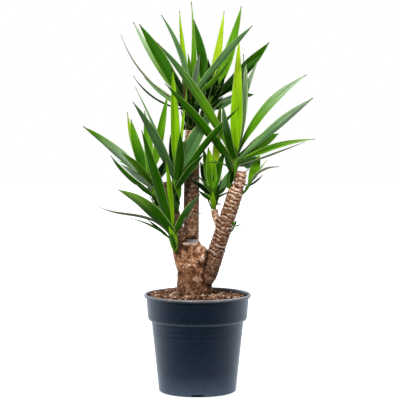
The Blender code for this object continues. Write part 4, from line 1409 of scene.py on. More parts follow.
@dataclass
class Pot:
    """The nursery pot: a rolled lip, a collar, a stepped body, two faint rings and a notched foot."""

    sides: int = 112
    rim_radius: float = 121.3
    rim_height: float = 222.5
    lip_underside: float = 215.3
    collar_top_radius: float = 116.2
    collar_foot_radius: float = 112.6
    collar_foot: float = 168.5
    step_height: float = 162.5
    body_top_radius: float = 104.4
    body_foot_radius: float = 88.8
    body_foot: float = 12.0
    foot_radius: float = 85.4
    foot_ring_inner: float = 73.5
    centre_disc_radius: float = 30.0
    channel_height: float = 4.0
    wall: float = 1.9
    floor: float = 2.4
    ring_heights: Pair = (131.0, 142.0)
    ring_proud: float = 0.35
    notches: int = 4
    notch_size: Triple = (27.0, 22.0, 9.0)
    drain_holes: int = 6
    drain_radius: float = 5.0
    drain_circle: float = 51.0
    fillet: float = 1.1
    fillet_points: int = 4
    sharp_angle: float = 38.0

    def profile(self) -> np.ndarray:
        """Lists radius and height round the wall: up the outside, over the lip and down the inside.

        Returns:
            Rows of radius and height.
        """
        slope = (self.body_top_radius - self.body_foot_radius) / (self.step_height - self.body_foot)
        corners = [
            (self.centre_disc_radius, 0.0), (self.centre_disc_radius + 2, self.channel_height),
            (self.foot_ring_inner - 2, self.channel_height), (self.foot_ring_inner, 0.0),
            (self.foot_radius, 0.0), (self.body_foot_radius - 0.8, 2.6),
            (self.body_foot_radius, self.body_foot),
        ]
        for height in self.ring_heights:
            wall = self.body_foot_radius + slope * (height - self.body_foot)
            corners += [(wall - 2.2 * slope, height - 2.2), (wall + self.ring_proud, height),
                        (wall + 2.2 * slope, height + 2.2)]
        corners += [
            (self.body_top_radius, self.step_height - 1.0),
            (self.collar_foot_radius - 2.4, self.step_height + 1.0),
            (self.collar_foot_radius, self.collar_foot), (self.collar_top_radius, self.lip_underside),
            (self.rim_radius - 1.2, self.lip_underside), (self.rim_radius, self.lip_underside + 1.8),
            (self.rim_radius - 0.3, self.rim_height - 1.6), (self.rim_radius - 2.6, self.rim_height),
            (self.rim_radius - 4.8, self.rim_height - 0.8),
            (self.collar_top_radius - self.wall, self.lip_underside - 4.0),
            (self.collar_foot_radius - self.wall, self.collar_foot + 1.0),
            (self.body_top_radius - self.wall, self.step_height - 1.0),
            (self.body_foot_radius - self.wall, self.body_foot), (self.foot_radius - 1.6, self.floor),
            (self.foot_ring_inner + 1.6, self.floor),
            (self.foot_ring_inner - 1.0, self.channel_height + self.floor),
            (self.centre_disc_radius + 1.0, self.channel_height + self.floor),
            (self.centre_disc_radius - 1.6, self.floor),
        ]
        return self.rounded(np.array(corners))

    def rounded(self, corners: np.ndarray) -> np.ndarray:
        """Rounds each corner of an open line of corners.

        Args:
            corners: Rows of radius and height.

        Returns:
            The line with a small arc in place of each inner corner.
        """
        made = [corners[0]]
        for before, corner, after in zip(corners[:-2], corners[1:-1], corners[2:]):
            back, ahead = before - corner, after - corner
            reach = [min(self.fillet, 0.4 * float(np.linalg.norm(way))) for way in (back, ahead)]
            start, end = corner + unit(back) * reach[0], corner + unit(ahead) * reach[1]
            for share in np.linspace(0, 1, self.fillet_points):
                made.append(start * (1 - share) ** 2 + corner * 2 * share * (1 - share) + end * share ** 2)
        return np.array(made + [corners[-1]])

    def cutter(self, name: str, centre: Vector, size: Sequence[float], turn: float, sides: int) -> Object:
        """Makes an upright cutting prism.

        Args:
            name: The object's name.
            centre: Its centre before it is turned round the pot's axis.
            size: Its width, depth and height.
            turn: How far it is turned round the pot's axis.
            sides: How many sides it has: four for a block.

        Returns:
            The prism.
        """
        points = []
        reach = math.sqrt(0.5) if sides == 4 else 0.5
        for up in (-0.5, 0.5):
            for side in range(sides):
                angle = math.tau * (side + 0.5) / sides
                x = centre.x + size[0] * reach * math.cos(angle)
                y = centre.y + size[1] * reach * math.sin(angle)
                points.append((x * math.cos(turn) - y * math.sin(turn),
                               x * math.sin(turn) + y * math.cos(turn), centre.z + up * size[2]))
        return mesh_object(name, points, ring_faces(2, sides))

    def build(self, plastic: Material) -> Object:
        """Builds the pot in place of its CAD node.

        Args:
            plastic: The material.

        Returns:
            The finished piece.
        """
        line = self.profile()
        pot = mesh_object("pot_fine", turned_points(line, self.sides), ring_faces(len(line), self.sides))
        notch_centre = Vector((0.0, 2.0 - self.foot_radius, 1.5))
        drain_centre = Vector((self.drain_circle, 0.0, 5.0))
        drain_size = (2 * self.drain_radius, 2 * self.drain_radius, 9.0)
        cutters = [self.cutter(f"notch_{index}", notch_centre, self.notch_size,
                               math.tau * index / self.notches, 4)
                   for index in range(self.notches)]
        cutters += [self.cutter(f"drain_{index}", drain_centre, drain_size,
                                math.tau * (index + 0.5) / self.drain_holes, 24)
                    for index in range(self.drain_holes)]
        group = bpy.data.collections.new("pot_cutters")
        for cutter in cutters:
            group.objects.link(cutter)
        cut = pot.modifiers.new("cut_foot", "BOOLEAN")
        cut.operation = "DIFFERENCE"
        cut.operand_type = "COLLECTION"
        cut.collection = group
        settle(pot)
        for cutter in cutters:
            bpy.data.objects.remove(cutter)
        bpy.data.collections.remove(group)
        pot.data.shade_smooth()
        pot.data.set_sharp_from_angle(angle=math.radians(self.sharp_angle))
        pot.data.materials.clear()
        pot.data.materials.append(plastic)
        return pot


@dataclass
class Soil:
    """The bark mix: a bed that mounds up to the stump, strewn with chips of bark."""

    sectors: int = 96
    rings: int = 34
    edge_height: float = 212.5
    mound: float = 9.0
    mound_width: float = 62.0
    mound_centre: Pair = (-7.0, 21.0)
    bank: float = 5.0
    rim_radius: float = 121.3
    lump_height: float = 2.2
    lump_sizes: Pair = (7.0, 3.0)
    edge_slump: float = 2.6
    highest_edge: float = 219.5
    wall: tuple[Pair, ...] = ((70.5, 7.2), (85.9, 13.0), (101.9, 159.5), (101.9, 164.0),
                                             (110.1, 171.9), (113.4, 209.0))
    chip_density: float = 40000.0
    chip_size: Pair = (4.2, 12.5)
    chip_reach: float = 109.0
    chip_shares: Triple = (1.0, 0.62, 0.3)
    tear: float = 0.75
    tilt: float = 0.55
    seed: int = 5

    def level(self, x: float, y: float) -> float:
        """Gives the height of the bed: a mound at the stump and a bank at the left back.

        Args:
            x: Place to the right.
            y: Place to the back.

        Returns:
            The height.
        """
        away = math.hypot(x - self.mound_centre[0], y - self.mound_centre[1])
        return (self.edge_height + self.mound * math.exp(-(away / self.mound_width) ** 2)
                + self.bank * max(0.0, (y - x) / self.rim_radius))

    def bed(self) -> Object:
        """Makes the closed bed, with its side just inside the pot's wall.

        Returns:
            The bed.
        """
        angles = np.arange(self.sectors) * math.tau / self.sectors
        points = turned_points(self.wall, self.sectors)
        edge = self.wall[-1][0]
        broad, fine = self.lump_sizes
        for ring in range(self.rings):
            radius = edge * (1 - ring / self.rings)
            for angle in angles:
                x, y = radius * math.cos(angle), radius * math.sin(angle)
                lump = noise.noise(Vector((x, y, 3.0)) / broad)
                lump += 0.5 * noise.noise(Vector((x, y, 9.0)) / fine)
                height = self.level(x, y) + self.lump_height * lump
                if ring == 0:
                    height = min(height - self.edge_slump, self.highest_edge)
                points.append((x, y, height))
        middle = len(points)
        points.append((0.0, 0.0, self.level(0, 0)))
        rows = middle // self.sectors
        foot, _, *faces = ring_faces(rows, self.sectors)
        faces.insert(0, foot)
        last = (rows - 1) * self.sectors
        faces += [(last + side, last + (side + 1) % self.sectors, middle) for side in range(self.sectors)]
        return mesh_object("soil_fine", points, faces)

    def chip_strewer(self) -> NodeTree:
        """Builds the tree that strews torn chips of bark over the top of the bed.

        Returns:
            The tree. The chips keep clear of the pot's wall.
        """
        tree, sizes = new_grower("strew_bark_chips", {
            "Density": ("NodeSocketFloat", self.chip_density), "Seed": ("NodeSocketInt", self.seed),
            "Reach": ("NodeSocketFloat", self.chip_reach * MM), "Lowest": ("NodeSocketFloat", 0.2),
            "Smallest": ("NodeSocketFloat", self.chip_size[0] * MM),
            "Largest": ("NodeSocketFloat", self.chip_size[1] * MM), "Mix": ("NodeSocketMaterial", None),
        })
        place = add(tree, "GeometryNodeInputPosition")
        parts = add(tree, "ShaderNodeSeparateXYZ", {0: place}).node.outputs
        flat = add(tree, "ShaderNodeCombineXYZ", {0: parts[0], 1: parts[1]})
        away = add(tree, "ShaderNodeVectorMath", {0: flat}, operation="LENGTH", out="Value")
        inside = add(tree, "ShaderNodeMath", {0: away, 1: sizes["Reach"]}, operation="LESS_THAN")
        on_top = add(tree, "ShaderNodeMath", {0: parts[2], 1: sizes["Lowest"]}, operation="GREATER_THAN")
        open_bed = add(tree, "ShaderNodeMath", {0: inside, 1: on_top}, operation="MULTIPLY")
        spots = add(tree, "GeometryNodeDistributePointsOnFaces", {
            "Mesh": sizes["Geometry"], "Selection": open_bed, "Density": sizes["Density"],
            "Seed": sizes["Seed"]}).node
        block = add(tree, "GeometryNodeMeshCube", {
            "Size": self.chip_shares, "Vertices X": 3, "Vertices Y": 3, "Vertices Z": 2})
        torn = add(tree, "ShaderNodeTexNoise", {"Vector": place, "Scale": 2.7, "Detail": 2.0}, out="Color")
        centred = add(tree, "ShaderNodeVectorMath", {0: torn, 1: (-0.5, -0.5, -0.5)}, operation="ADD")
        pull = add(tree, "ShaderNodeVectorMath", {0: centred, "Scale": self.tear}, operation="SCALE")
        chip = add(tree, "GeometryNodeSetPosition", {"Geometry": block, "Offset": pull})
        spin = add(tree, "FunctionNodeRandomValue", {
            0: (-self.tilt, -self.tilt, 0.0), 1: (self.tilt, self.tilt, math.tau), "Seed": 3},
            data_type="FLOAT_VECTOR")
        turn = add(tree, "FunctionNodeEulerToRotation", {0: spin})
        lie = add(tree, "FunctionNodeRotateRotation", {0: spots.outputs["Rotation"], 1: turn},
                  rotation_space="LOCAL")
        draw = add(tree, "FunctionNodeRandomValue", {2: 0.0, 3: 1.0, "Seed": 4}, data_type="FLOAT", out=1)
        fewer = add(tree, "ShaderNodeMath", {0: draw, 1: 2.0}, operation="POWER")
        length = add(tree, "ShaderNodeMapRange", {0: fewer, 3: sizes["Smallest"], 4: sizes["Largest"]})
        shape = add(tree, "FunctionNodeRandomValue", {0: (1.0, 0.6, 0.7), 1: (1.0, 1.1, 1.3), "Seed": 6},
                    data_type="FLOAT_VECTOR")
        scale = add(tree, "ShaderNodeVectorMath", {0: shape, "Scale": length}, operation="SCALE")
        chips = add(tree, "GeometryNodeInstanceOnPoints", {
            "Points": spots.outputs["Points"], "Instance": chip, "Rotation": lie, "Scale": scale})
        brown = add(tree, "FunctionNodeRandomValue", {2: 0.12, 3: 1.0, "Seed": 8}, data_type="FLOAT", out=1)
        chips = add(tree, "GeometryNodeStoreNamedAttribute", {
            "Geometry": chips, "Name": "chip", "Value": brown}, data_type="FLOAT", domain="INSTANCE")
        bed = add(tree, "GeometryNodeStoreNamedAttribute", {
            "Geometry": sizes["Geometry"], "Name": "chip", "Value": 0.06}, data_type="FLOAT")
        joined = add(tree, "GeometryNodeJoinGeometry").node
        for piece in (bed, chips):
            tree.links.new(piece, joined.inputs[0])
        real = add(tree, "GeometryNodeRealizeInstances", {"Geometry": joined.outputs[0]})
        dressed = add(tree, "GeometryNodeSetMaterial", {"Geometry": real, "Material": sizes["Mix"]})
        add(tree, "NodeGroupOutput", {0: dressed})
        return tree

    def build(self, mix: Material) -> Object:
        """Builds the bark mix in place of its CAD node.

        Args:
            mix: The material.

        Returns:
            The finished piece.
        """
        return grow(self.bed(), self.chip_strewer(), {"Mix": mix})


class Lamp(NamedTuple):
    """A soft lamp: its name, its place and size in metres, and its power in watts."""

    name: str
    place: Triple
    size: float
    power: float


@dataclass
class Studio:
    """A white studio: the camera at the photo's angle, a glowing floor, soft lamps and a white room.

    The floor and the room look white to the camera and light the plant a little cooler than that. Sizes are
    in metres, and the camera's lens in millimetres.
    """

    eye: Triple = (0.0056, -3.83, 0.724)
    aim: Triple = (0.0056, 0.0, 0.435)
    lens: float = 153.0
    floor_half: float = 7.0
    room_tint: str = "#e4f0ff"
    floor_tint: str = "#ebf3ff"
    shade_radius: float = 0.083
    floor_glow: tuple[float, float, float, float] = (-0.45, 0.1, 0.02, 1.35)
    room_glow: tuple[float, float, float, float] = (-1.0, 0.4, 0.02, 1.0)
    lit: Triple = (0.0, 0.0, 0.45)
    lamps: tuple[Lamp, ...] = (
        Lamp("key", (-1.0, -2.2, 2.5), 1.0, 120.0),
        Lamp("fill", (2.4, -1.4, 1.2), 1.6, 20.0),
        Lamp("back", (0.9, 2.2, 2.4), 1.6, 30.0),
    )

    def facing(self, place: Triple, target: Triple) -> Euler:
        """Turns a camera or a lamp at one place towards another."""
        return (Vector(target) - Vector(place)).to_track_quat("-Z", "Y").to_euler()

    def glow(self, tree: NodeTree, reading: NodeSocket, seen: NodeSocket,
             span: tuple[float, float, float, float]) -> NodeSocket:
        """Works out how strongly a white surface glows from front to back.

        Args:
            tree: The material's or the room's tree.
            reading: A place or a direction.
            seen: 1 for the camera's rays, which see it no dimmer than that, and 0 for all others.
            span: Where it is dim and where it is bright along the depth, and both strengths.

        Returns:
            The strength.
        """
        depth = add(tree, "ShaderNodeSeparateXYZ", {0: reading}, out=1)
        spill = add(tree, "ShaderNodeMapRange", {0: depth, 1: span[0], 2: span[1], 3: span[2], 4: span[3]})
        return add(tree, "ShaderNodeMath", {0: spill, 1: seen}, operation="MAXIMUM")

    def camera(self) -> None:
        """Sets the camera up."""
        data = bpy.data.cameras.new("photo_view")
        data.lens = self.lens
        data.sensor_width = 36.0
        camera = bpy.data.objects.new("photo_view", data)
        camera.location = self.eye
        camera.rotation_euler = self.facing(self.eye, self.aim)
        bpy.context.scene.collection.objects.link(camera)
        bpy.context.scene.camera = camera

    def floor(self) -> None:
        """Lays a grey floor that glows, as a white sweep lit from below does.

        It doesn't glow under the pot, so that the drain notches stay dark.
        """
        half = self.floor_half / MM
        corners = [(-half, -half, 0), (half, -half, 0), (half, half, 0), (-half, half, 0)]
        floor = mesh_object("floor", corners, [(0, 1, 2, 3)])
        made, tree, shader = new_surface("white_sweep", {
            "Base Color": linear("#404040"), "Roughness": 0.9, "Specular IOR Level": 0.1})
        place = add(tree, "ShaderNodeTexCoord", out="Object")
        seen = add(tree, "ShaderNodeLightPath", out="Is Camera Ray")
        glow = self.glow(tree, place, seen, self.floor_glow)
        away = add(tree, "ShaderNodeVectorMath", {0: place}, operation="LENGTH", out="Value")
        clear = add(tree, "ShaderNodeMath", {0: away, 1: self.shade_radius}, operation="GREATER_THAN")
        glow = add(tree, "ShaderNodeMath", {0: glow, 1: clear}, operation="MULTIPLY")
        tree.links.new(glow, shader.inputs["Emission Strength"])
        cool = add(tree, "ShaderNodeMix", {0: seen, 6: linear(self.floor_tint), 7: (1.0, 1.0, 1.0, 1.0)},
                   data_type="RGBA", out=2)
        tree.links.new(cool, shader.inputs["Emission Color"])
        floor.data.materials.append(made)

    def light(self) -> None:
        """Lights the plant with soft lamps, inside a white room that is darker behind the camera."""
        for name, place, size, power in self.lamps:
            data = bpy.data.lights.new(name, "AREA")
            data.size, data.energy = size, power
            lamp = bpy.data.objects.new(name, data)
            lamp.location = place
            lamp.rotation_euler = self.facing(place, self.lit)
            bpy.context.scene.collection.objects.link(lamp)
        world = bpy.data.worlds.new("white_room")
        world.use_nodes = True
        tree = world.node_tree
        way = add(tree, "ShaderNodeTexCoord", out="Generated")
        seen = add(tree, "ShaderNodeLightPath", out="Is Camera Ray")
        strength = self.glow(tree, way, seen, self.room_glow)
        back = tree.nodes["Background"]
        cool = add(tree, "ShaderNodeMix", {0: seen, 6: linear(self.room_tint), 7: (1.0, 1.0, 1.0, 1.0)},
                   data_type="RGBA", out=2)
        tree.links.new(cool, back.inputs[0])
        tree.links.new(strength, back.inputs[1])
        bpy.context.scene.world = world
        bpy.context.scene.view_settings.view_transform = "Standard"

    def build(self) -> None:
        """Sets up the camera, the floor and the light."""
        self.camera()
        self.floor()
        self.light()


STUMP = (
    ((-7, 22, 150), 31), ((-7, 22, 200), 38), ((-7, 21, 228), 40), ((-8, 19, 262), 37.5),
    ((-11, 14, 300), 32.5), ((-15, 6, 326), 24), ((-16.3, -1, 341), 19.5),
)
MIDDLE_CANE = (
    ((-14, 30, 255), 15), ((-15, 33, 300), 17.5), ((-15, 34, 345), 17.8), ((-14, 30, 422), 17.5),
    ((-12.5, 28, 540), 16.8), ((-10.5, 27, 592), 17.2),
)
LEFT_CANE = (
    ((-18, 16, 245), 15), ((-32, 10, 292), 19), ((-43, 7, 343), 18), ((-59, 4, 411), 17.5),
    ((-65, 4, 476), 17),
)
RIGHT_CANE = (
    ((8, 16, 238), 18), ((24, 9, 266), 20.5), ((33, 4, 290), 19.5), ((41, 0, 314), 18.8),
    ((52, -4, 349), 18.2), ((76.5, -8, 424), 17.5), ((86, -10, 455), 17.5), ((91, -11, 466), 13),
    ((95.5, -12, 478), 12.4), ((97.5, -12, 501), 12.8),
)
INNER_STUB = (((54, 0, 358), 6), ((46, 7, 382), 7.5), ((40, 11, 400), 8), ((38, 12, 413), 8.6),)
SWELLINGS = (
    ((-30, 3, 296), (20, 16, 32)),
    ((-14, 2, 283), (26, 22, 26)),
    ((8, 2, 306), (17, 18, 26)),
    ((20, 4, 262), (20, 18, 24)),
    ((-4, 0, 257), (22, 21, 17)),
    ((-20, 40, 276), (22, 17, 30)),
    ((12, 34, 286), (22, 18, 28)),
    ((-2, -1, 318), (17, 16, 19)),
    ((-24, -2, 312), (17, 15, 22)),
)
# Paleness from foot to top: the bark's own tone, with painted shade where the leaves shade the canes, darkest
# at the top of the left cane
CANES = (
    Cane(MIDDLE_CANE, (0.85, 0.85, 0.75, 0.42, 0.8, 1.4), 9.0, 0.4, 1.2, 60.0, 1),
    Cane(LEFT_CANE, (1.1, 0.95, 0.55, 0.28, 0.26), 10.0, 0.5, 1.2, 90.0, 2),
    Cane(RIGHT_CANE, (0.75, 0.5, 0.56, 0.66, 0.92, 1.15), 10.4, 2.1, 1.9, 60.0, 3),
    Cane(INNER_STUB, (1.0, 1.2), 8.0, 0.4, 1.0, 0.0, 4),
)


TOP_LEFT = Shoot(
    core=(((-17, 27, 580), 7.5), ((-17, 27, 592), 7.5), ((-16, 27, 604), 9.5), ((-13, 25, 668), 7.5),
          ((-12, 25, 700), 1.5)),
    leaves=(
        Leaf((-150, 150, 840), (-6, 0, -6), 0.55, 19, 0.5, Tone.OLIVE, Tone.FROSTED),
        Leaf((-134, 95, 833), (2, 0, 0), 0.4, 31, 0.6, Tone.DEEP, widest=0.55),
        Leaf((-80, -60, 849), (10, 0, 4), 0.95, 14, 0.3, Tone.BLOOM),
        Leaf((-41, 60, 862), (-5, 0, -1), 0.9, 14, 0.3, Tone.BRIGHT_BACKLIT, Tone.YOUNG),
        Leaf((-14, 12, 881), (5, 0, 0), 0.97, 14, 0.3, Tone.MID, Tone.OLIVE, widest=0.3, point=1.2),
        Leaf((5, -125, 764), (0, 0, 1), 0.95, 13, 0.2, Tone.FROSTED),
        Leaf((-22, 90, 765), (2, 0, 0), 0.8, 14, 0.2, Tone.MID),
        Leaf((-173, 20, 807), (-19, 0, -18), 0.6, 10, 0.25, Tone.DRY),
        Leaf((-148, 80, 715), (-10, 0, -17), 0.5, 10, 0.25, Tone.SHADED),
        Leaf((-123, 62, 712), (-3, 0, -5), 0.45, 19, 0.45, Tone.BLOOM),
        Leaf((120, -95, 824), (-3, 0, 3), 0.95, 20, 0.4, Tone.BLOOM, widest=0.6),
        Leaf((75, -60, 754), (5, 0, -5), 0.9, 14, 0.4, Tone.MID),
        Leaf((-62, 60, 735), (-2, 0, -2), 0.7, 17, 0.5, Tone.SHADED),
        Leaf((-36, 70, 742), (-1, 0, 0), 0.8, 16, 0.5, Tone.DEEP),
        Leaf((-52, 34, 668), (-2, 0, -2), 0.3, 15, 0.4, Tone.SHADED),
        Leaf((18, -10, 690), (2, 0, -3), 0.4, 15, 0.4, Tone.SHADED_GREY_GREEN),
    ),
    back=6, back_way=72, spread=28, reach=187, seed=1,
    stem_kind=StemKind.SCARRED, stem_share=1.25, sheaths=24, sheath_proud=2.0, sheath_length=70.0,
    sheath_lean=0.42, sheath_width=1.5,
    sheath_tones=(Tone.SHADED, Tone.DEEP, Tone.SHADED, Tone.WITHERED, Tone.DEEP),
)
TOP_RIGHT = Shoot(
    core=(((-1.5, 25, 582), 6), ((-1.5, 25, 592), 6), ((3, 24, 606), 6.8), ((24, 20, 645), 6),
          ((32, 19, 672), 1.5)),
    leaves=(
        Leaf((-8, 90, 842), (5, 0, 0), 0.9, 25, 0.5, Tone.DEEP),
        Leaf((61, 90, 862), (3, 0, -1), 0.95, 21, 0.2, Tone.YOUNG, point=1.5),
        Leaf((100, 60, 873), (10, 0, -3), 0.75, 34, 0.5, Tone.MID, point=1.6),
        Leaf((167, 150, 792), (1, 0, -3), 0.9, 28, 0.7, Tone.DEEP, widest=0.6),
        Leaf((131, 130, 671), (1, 0, 6), 0.7, 22, 0.6, Tone.FROSTED, Tone.DEEP, widest=0.65),
        Leaf((92, 44, 670), (3, 0, -6), 0.7, 16, 0.5, Tone.SHADED_GREY_GREEN),
        Leaf((25, 150, 750), (-3, 0, -1), 0.8, 15, 0.5, Tone.SHADED_GREY_GREEN),
        Leaf((35, 5, 705), (6, 0, -1), 0.95, 15, 0.3, Tone.SHADED),
        Leaf((24, 30, 752), (4, 0, 0), 0.9, 19, 0.6, Tone.SHADED),
        Leaf((44, 10, 726), (6, 0, 0), 0.8, 18, 0.6, Tone.SHADED),
        Leaf((62, 15, 716), (4, 0, -2), 0.7, 18, 0.6, Tone.SHADED),
        Leaf((58, 36, 668), (2, 0, -2), 0.5, 17, 0.5, Tone.SHADED_GREY_GREEN),
        Leaf((14, 32, 690), (-3, 0, 0), 0.6, 15, 0.5, Tone.DEEP),
        Leaf((36, 38, 640), (0, 0, 4), 0.2, 16, 0.5, Tone.SHADED),
    ),
    back=5, back_way=74, spread=42, reach=230, seed=2,
)
LEFT = Shoot(
    core=(((-70, 2, 404), 4.5), ((-79, 2, 411), 5), ((-90, 3, 424), 5.8), ((-107, 5, 474), 6),
          ((-110, 6, 498), 1.5)),
    leaves=(
        Leaf((-255, -50, 603), (4, 0, 5), 0.8, 26, 0.55, Tone.FROSTED, Tone.MID),
        Leaf((-166, -110, 547), (3, 0, 4), 0.75, 20, 0.4, Tone.MID),
        Leaf((-195, -20, 537), (-7, 0, -7), 0.5, 15, 0.5, Tone.DEEP),
        Leaf((-170, -70, 519), (1, 0, 2), 0.6, 18, 0.5, Tone.FROSTED),
        Leaf((-140, -30, 474), (0, 0, 0), 0.25, 15, 0.4, Tone.DEEP),
        Leaf((-154, 105, 614), (-6, 0, -3), 0.95, 26, 0.3, Tone.DEEP, Tone.MID),
        Leaf((-164, 140, 630), (-9, 0, -4), 0.85, 15, 0.2, Tone.MID, Tone.YOUNG),
        Leaf((-122, 90, 634), (2, 0, 0), 0.97, 21, 0.3, Tone.MID),
        Leaf((-67, 12, 674), (-1, 0, 0), 0.9, 20, 0.9, Tone.MID),
        Leaf((-72, -85, 529), (1, 0, 0), 0.7, 17, 0.4, Tone.SHADED),
    ),
    back=5, back_way=90, spread=50, reach=195, seed=12,
)
MIDDLE = Shoot(
    core=(((-52, 0, 402), 5), ((-48, -8, 412), 6), ((-46, -14, 426), 7), ((-48, -18, 476), 6.5),
          ((-49, -18, 504), 1.5)),
    leaves=(
        Leaf((-56, 8, 729), (0, 0, 0), 0.97, 23, 0.45, Tone.BRIGHT_BACKLIT),
        Leaf((-141, -120, 659), (5, 0, 3), 0.85, 24, 0.45, Tone.SHADED_GREY_GREEN),
        Leaf((-138, -60, 690), (3, 0, 2), 0.9, 12, 0.05, Tone.BLOOM),
        Leaf((-38, -95, 590), (3, 0, 0), 0.75, 22, 0.4, Tone.DEEP),
        Leaf((91, -62, 644), (-5, 0, 5), 0.8, 19, 0.5, Tone.DEEP),
        Leaf((44, 20, 647), (-8, 0, 6), 0.85, 33, 0.75, Tone.SHADED_GREY_GREEN),
        Leaf((14, -140, 545), (-2, 0, 2), 0.6, 18, 0.3, Tone.DEEP),
        Leaf((-23, -7, 690), (0, 0, 0), 0.97, 11, 0.5, Tone.BRIGHT_BACKLIT),
        Leaf((-63, 72, 579), (-2, 0, -1), 0.85, 15, 0.3, Tone.SHADED),
        Leaf((-40, 104, 556), (0, 0, 6), 0.9, 17, 0.1, Tone.DEEP),
    ),
)
LOW = Shoot(
    core=(((-40, 2, 308), 2.0), ((-47.5, -13, 321), 2.8), ((-51, -20, 332), 5.0), ((-57, -30, 360), 5.5),
          ((-60, -33, 382), 1.5)),
    leaves=(
        Leaf((-121, -150, 598), (-1, 0, 2), 0.9, 25, 0.2, Tone.DEEP),
        Leaf((-68, -110, 529), (2, 0, 1), 0.97, 14, 0.3, Tone.BRIGHT_BACKLIT),
        Leaf((-175, -110, 466), (9, 0, 9), 0.7, 33, 0.6, Tone.DEEP, Tone.OLIVE),
        Leaf((-225, -60, 428), (4, 0, 13), 0.6, 12, 0.4, Tone.DRY, sway=(0, 0, 9)),
        Leaf((-150, -20, 395), (3, 0, 6), 0.4, 8, 0.4, Tone.DEEP),
        Leaf((-115, -5, 392), (1, 0, 0), 0.3, 10, 0.4, Tone.SHADED),
        Leaf((6, -80, 453), (-4, 0, 3), 0.6, 20, 0.35, Tone.DEEP, Tone.SHADED_GREY_GREEN),
        Leaf((25, -70, 411), (-14, 0, 17), 0.4, 9, 0.1, Tone.DRY),
        Leaf((-108, -26, 434), (4, 0, 2), 0.5, 8, 0.1, Tone.DEEP),
    ),
    sheath_tones=(Tone.MID, Tone.BRIGHT_BACKLIT, Tone.DEEP),
)
RIGHT = Shoot(
    core=(((78, -12, 448), 5), ((75, -14, 462), 5.5), ((74, -16, 480), 6.5), ((84, -18, 524), 6.5),
          ((87, -17, 556), 1.5)),
    leaves=(
        Leaf((93, -5, 803), (0, 0, 0), 0.97, 28, 0.95, Tone.BRIGHT_BACKLIT, Tone.YOUNG, widest=0.36, point=1.5,
             heel=0.25, turned=0.8),
        Leaf((110, 30, 746), (3, 0, 0), 0.9, 21, 0.95, Tone.PALE, widest=0.55, heel=0.5, turned=0.5),
        Leaf((138, 35, 751), (-14, 0, 3), 0.8, 14, 0.9, Tone.FROSTED, widest=0.6),
        Leaf((104, 22, 764), (4, 0, -1), 0.9, 6, 0.0, Tone.BLOOM),
        Leaf((-89, -90, 788), (10, 0, 8), 0.9, 24, 0.55, Tone.MID, Tone.SHADED_GREY_GREEN),
        Leaf((-72, -45, 698), (1, 0, 2), 0.8, 24, 0.6, Tone.DEEP),
        Leaf((249, 60, 717), (-20, 0, 13), 0.8, 23, 0.65, Tone.MID, Tone.FROSTED,
             widest=0.62, point=1.5, heel=0.25),
        Leaf((256, -60, 666), (-4, 0, 2), 0.8, 23, 0.6, Tone.BLOOM, Tone.FROSTED, widest=0.6, heel=0.4),
        Leaf((188, 110, 581), (-3, 0, 3), 0.85, 25, 0.85, Tone.MID, widest=0.6),
        Leaf((266, 10, 572), (-4, 0, 11), 0.75, 17, 0.6, Tone.MID, Tone.OLIVE, point=1.5),
        Leaf((239, -60, 569), (1, 0, -2), 0.65, 9, 0.35, Tone.DRY),
        Leaf((146, 130, 528), (0, 0, -6), 0.75, 25, 0.9, Tone.DEEP, turned=0.4),
        Leaf((122, 30, 516), (0, 0, -2), 0.7, 12, 0.4, Tone.SHADED),
        Leaf((55, -130, 653), (-4, 0, 0), 0.95, 18, 0.4, Tone.DEEP, Tone.BLOOM),
        Leaf((60, -125, 551), (-1, 0, 0), 0.3, 12, 0.3, Tone.DEEP),
        Leaf((7, -25, 601), (3, 0, 3), 0.65, 18, 0.6, Tone.DEEP),
        Leaf((-15, -125, 502), (-2, 0, 20), 0.55, 8, 0.4, Tone.MID),
    ),
    back=5, back_way=72, spread=38, reach=183, seed=8, sheath_width=1.8,
)
INNER = Shoot(
    core=(((38.3, 12, 402), 4.8), ((38, 12, 413), 5), ((37.5, 12, 421), 6), ((36, 12, 441), 5.2),
          ((36, 12, 462), 1.5)),
    leaves=(
        Leaf((54, 78, 663), (-1, 0, -1), 0.97, 17, 0.3, Tone.YOUNG),
        Leaf((24, 30, 553), (1, 0, 0), 0.9, 26, 0.7, Tone.MID, Tone.BRIGHT_BACKLIT),
        Leaf((13, 45, 550), (0, 0, 0), 0.85, 20, 0.7, Tone.MID),
        Leaf((64, 30, 549), (-5, 0, 1), 0.8, 20, 0.7, Tone.DEEP),
        Leaf((77, 20, 505), (2, 0, -2), 0.5, 22, 0.6, Tone.SHADED_GREY_GREEN, heel=1.0),
        Leaf((6, 60, 518), (2, 0, 0), 0.7, 26, 0.7, Tone.SHADED),
        Leaf((-9, 0, 497), (5, 0, 3), 0.6, 8, 0.35, Tone.DEEP),
        Leaf((-20, -20, 484), (4, 0, 4), 0.5, 15, 0.5, Tone.SHADED),
        Leaf((1, -10, 458), (-1, 0, -1), 0.4, 12, 0.5, Tone.DEEP),
        Leaf((55, 14, 425), (0, 0, -3), 0.4, 6, 0.4, Tone.SHADED),
    ),
    back=4, back_way=50, spread=50, reach=130, seed=1, sheaths=12, sheath_length=56.0, sheath_lean=0.5,
    sheath_tones=(Tone.MID, Tone.DEEP, Tone.BRIGHT_BACKLIT),
)
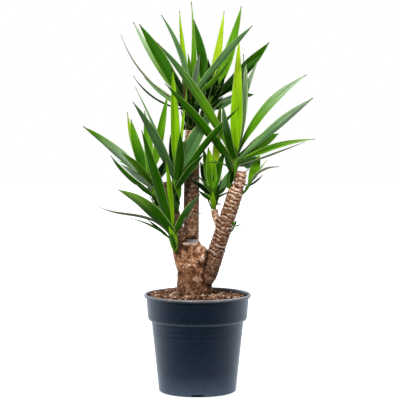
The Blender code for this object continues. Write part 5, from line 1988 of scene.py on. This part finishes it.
SIDE = Shoot(
    core=(((98, -13, 448), 3.2), ((104, -14, 453), 3.5), ((109, -15, 459), 4), ((116, -17, 470), 3.6),
          ((119, -17, 482), 1.2)),
    leaves=(
        Leaf((140, 20, 537), (1, 0, -1), 0.97, 22, 0.75, Tone.MID, heel=0.35, turned=0.4),
        Leaf((157, -10, 526), (-1, 0, 1), 0.9, 6, 0.45, Tone.BRIGHT_BACKLIT),
        Leaf((183, -20, 511), (-7, 0, 11), 0.8, 8, 0.5, Tone.DRY),
        Leaf((145, -45, 494), (1, 0, -2), 0.6, 7, 0.3, Tone.SHADED),
    ),
    back=2, back_way=108, spread=50, reach=60, seed=7,
    sheaths=3, sheath_length=20.0, sheath_width=1.4, sheath_tones=(Tone.MID, Tone.BRIGHT_BACKLIT),
)
SPROUT = Shoot(
    core=(((67, -8, 358), 2.6), ((73, -9, 363), 2.8), ((78, -10, 368), 3), ((83, -12, 377), 2.4),
          ((84, -12, 383), 1)),
    leaves=(
        Leaf((88, -15, 389), (0, 0, 0), 0.9, 7, 0.3, Tone.DEEP),
        Leaf((97, -20, 382), (1, 0, -1), 0.8, 6, 0.3, Tone.DEEP),
        Leaf((79, -24, 389), (0, 0, 0), 0.9, 6, 0.3, Tone.MID),
        Leaf((88, 4, 388), (0, 0, 0), 0.8, 6, 0.3, Tone.SHADED),
    ),
    sheaths=0,
)
SHOOTS = {
    "leaves_top_left": TOP_LEFT,
    "leaves_top_right": TOP_RIGHT,
    "leaves_left": LEFT,
    "leaves_middle": MIDDLE,
    "leaves_low": LOW,
    "leaves_right": RIGHT,
    "leaves_inner": INNER,
    "leaves_side": SIDE,
    "leaves_sprout": SPROUT,
}


def stand_for(piece: Object, node: str) -> None:
    """Puts a finished piece in place of a CAD node.

    Args:
        piece: The piece.
        node: The node that it stands for.
    """
    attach(piece, "root")
    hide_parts(node)
    LOG.info("%s stands for %s: %d faces", piece.name, node, len(piece.data.polygons))


def main() -> None:
    """Builds the pieces in order."""
    logging.basicConfig(level=logging.INFO, format="%(message)s")
    Studio().build()
    stand_for(Pot().build(MouldedPolypropylene().material()), "pot")
    stand_for(Soil().build(BarkMix().material()), "soil")
    stand_for(Trunk(STUMP, CANES, SWELLINGS).build(CaneBark().material()), "trunk")
    leaf, stem, grower = YuccaLeaf().material(), ShootStem().material(), ShootGrower().tree()
    for name, shoot in SHOOTS.items():
        stand_for(shoot.build(name, grower, leaf, stem), name)


if __name__ == "__main__":
    main()
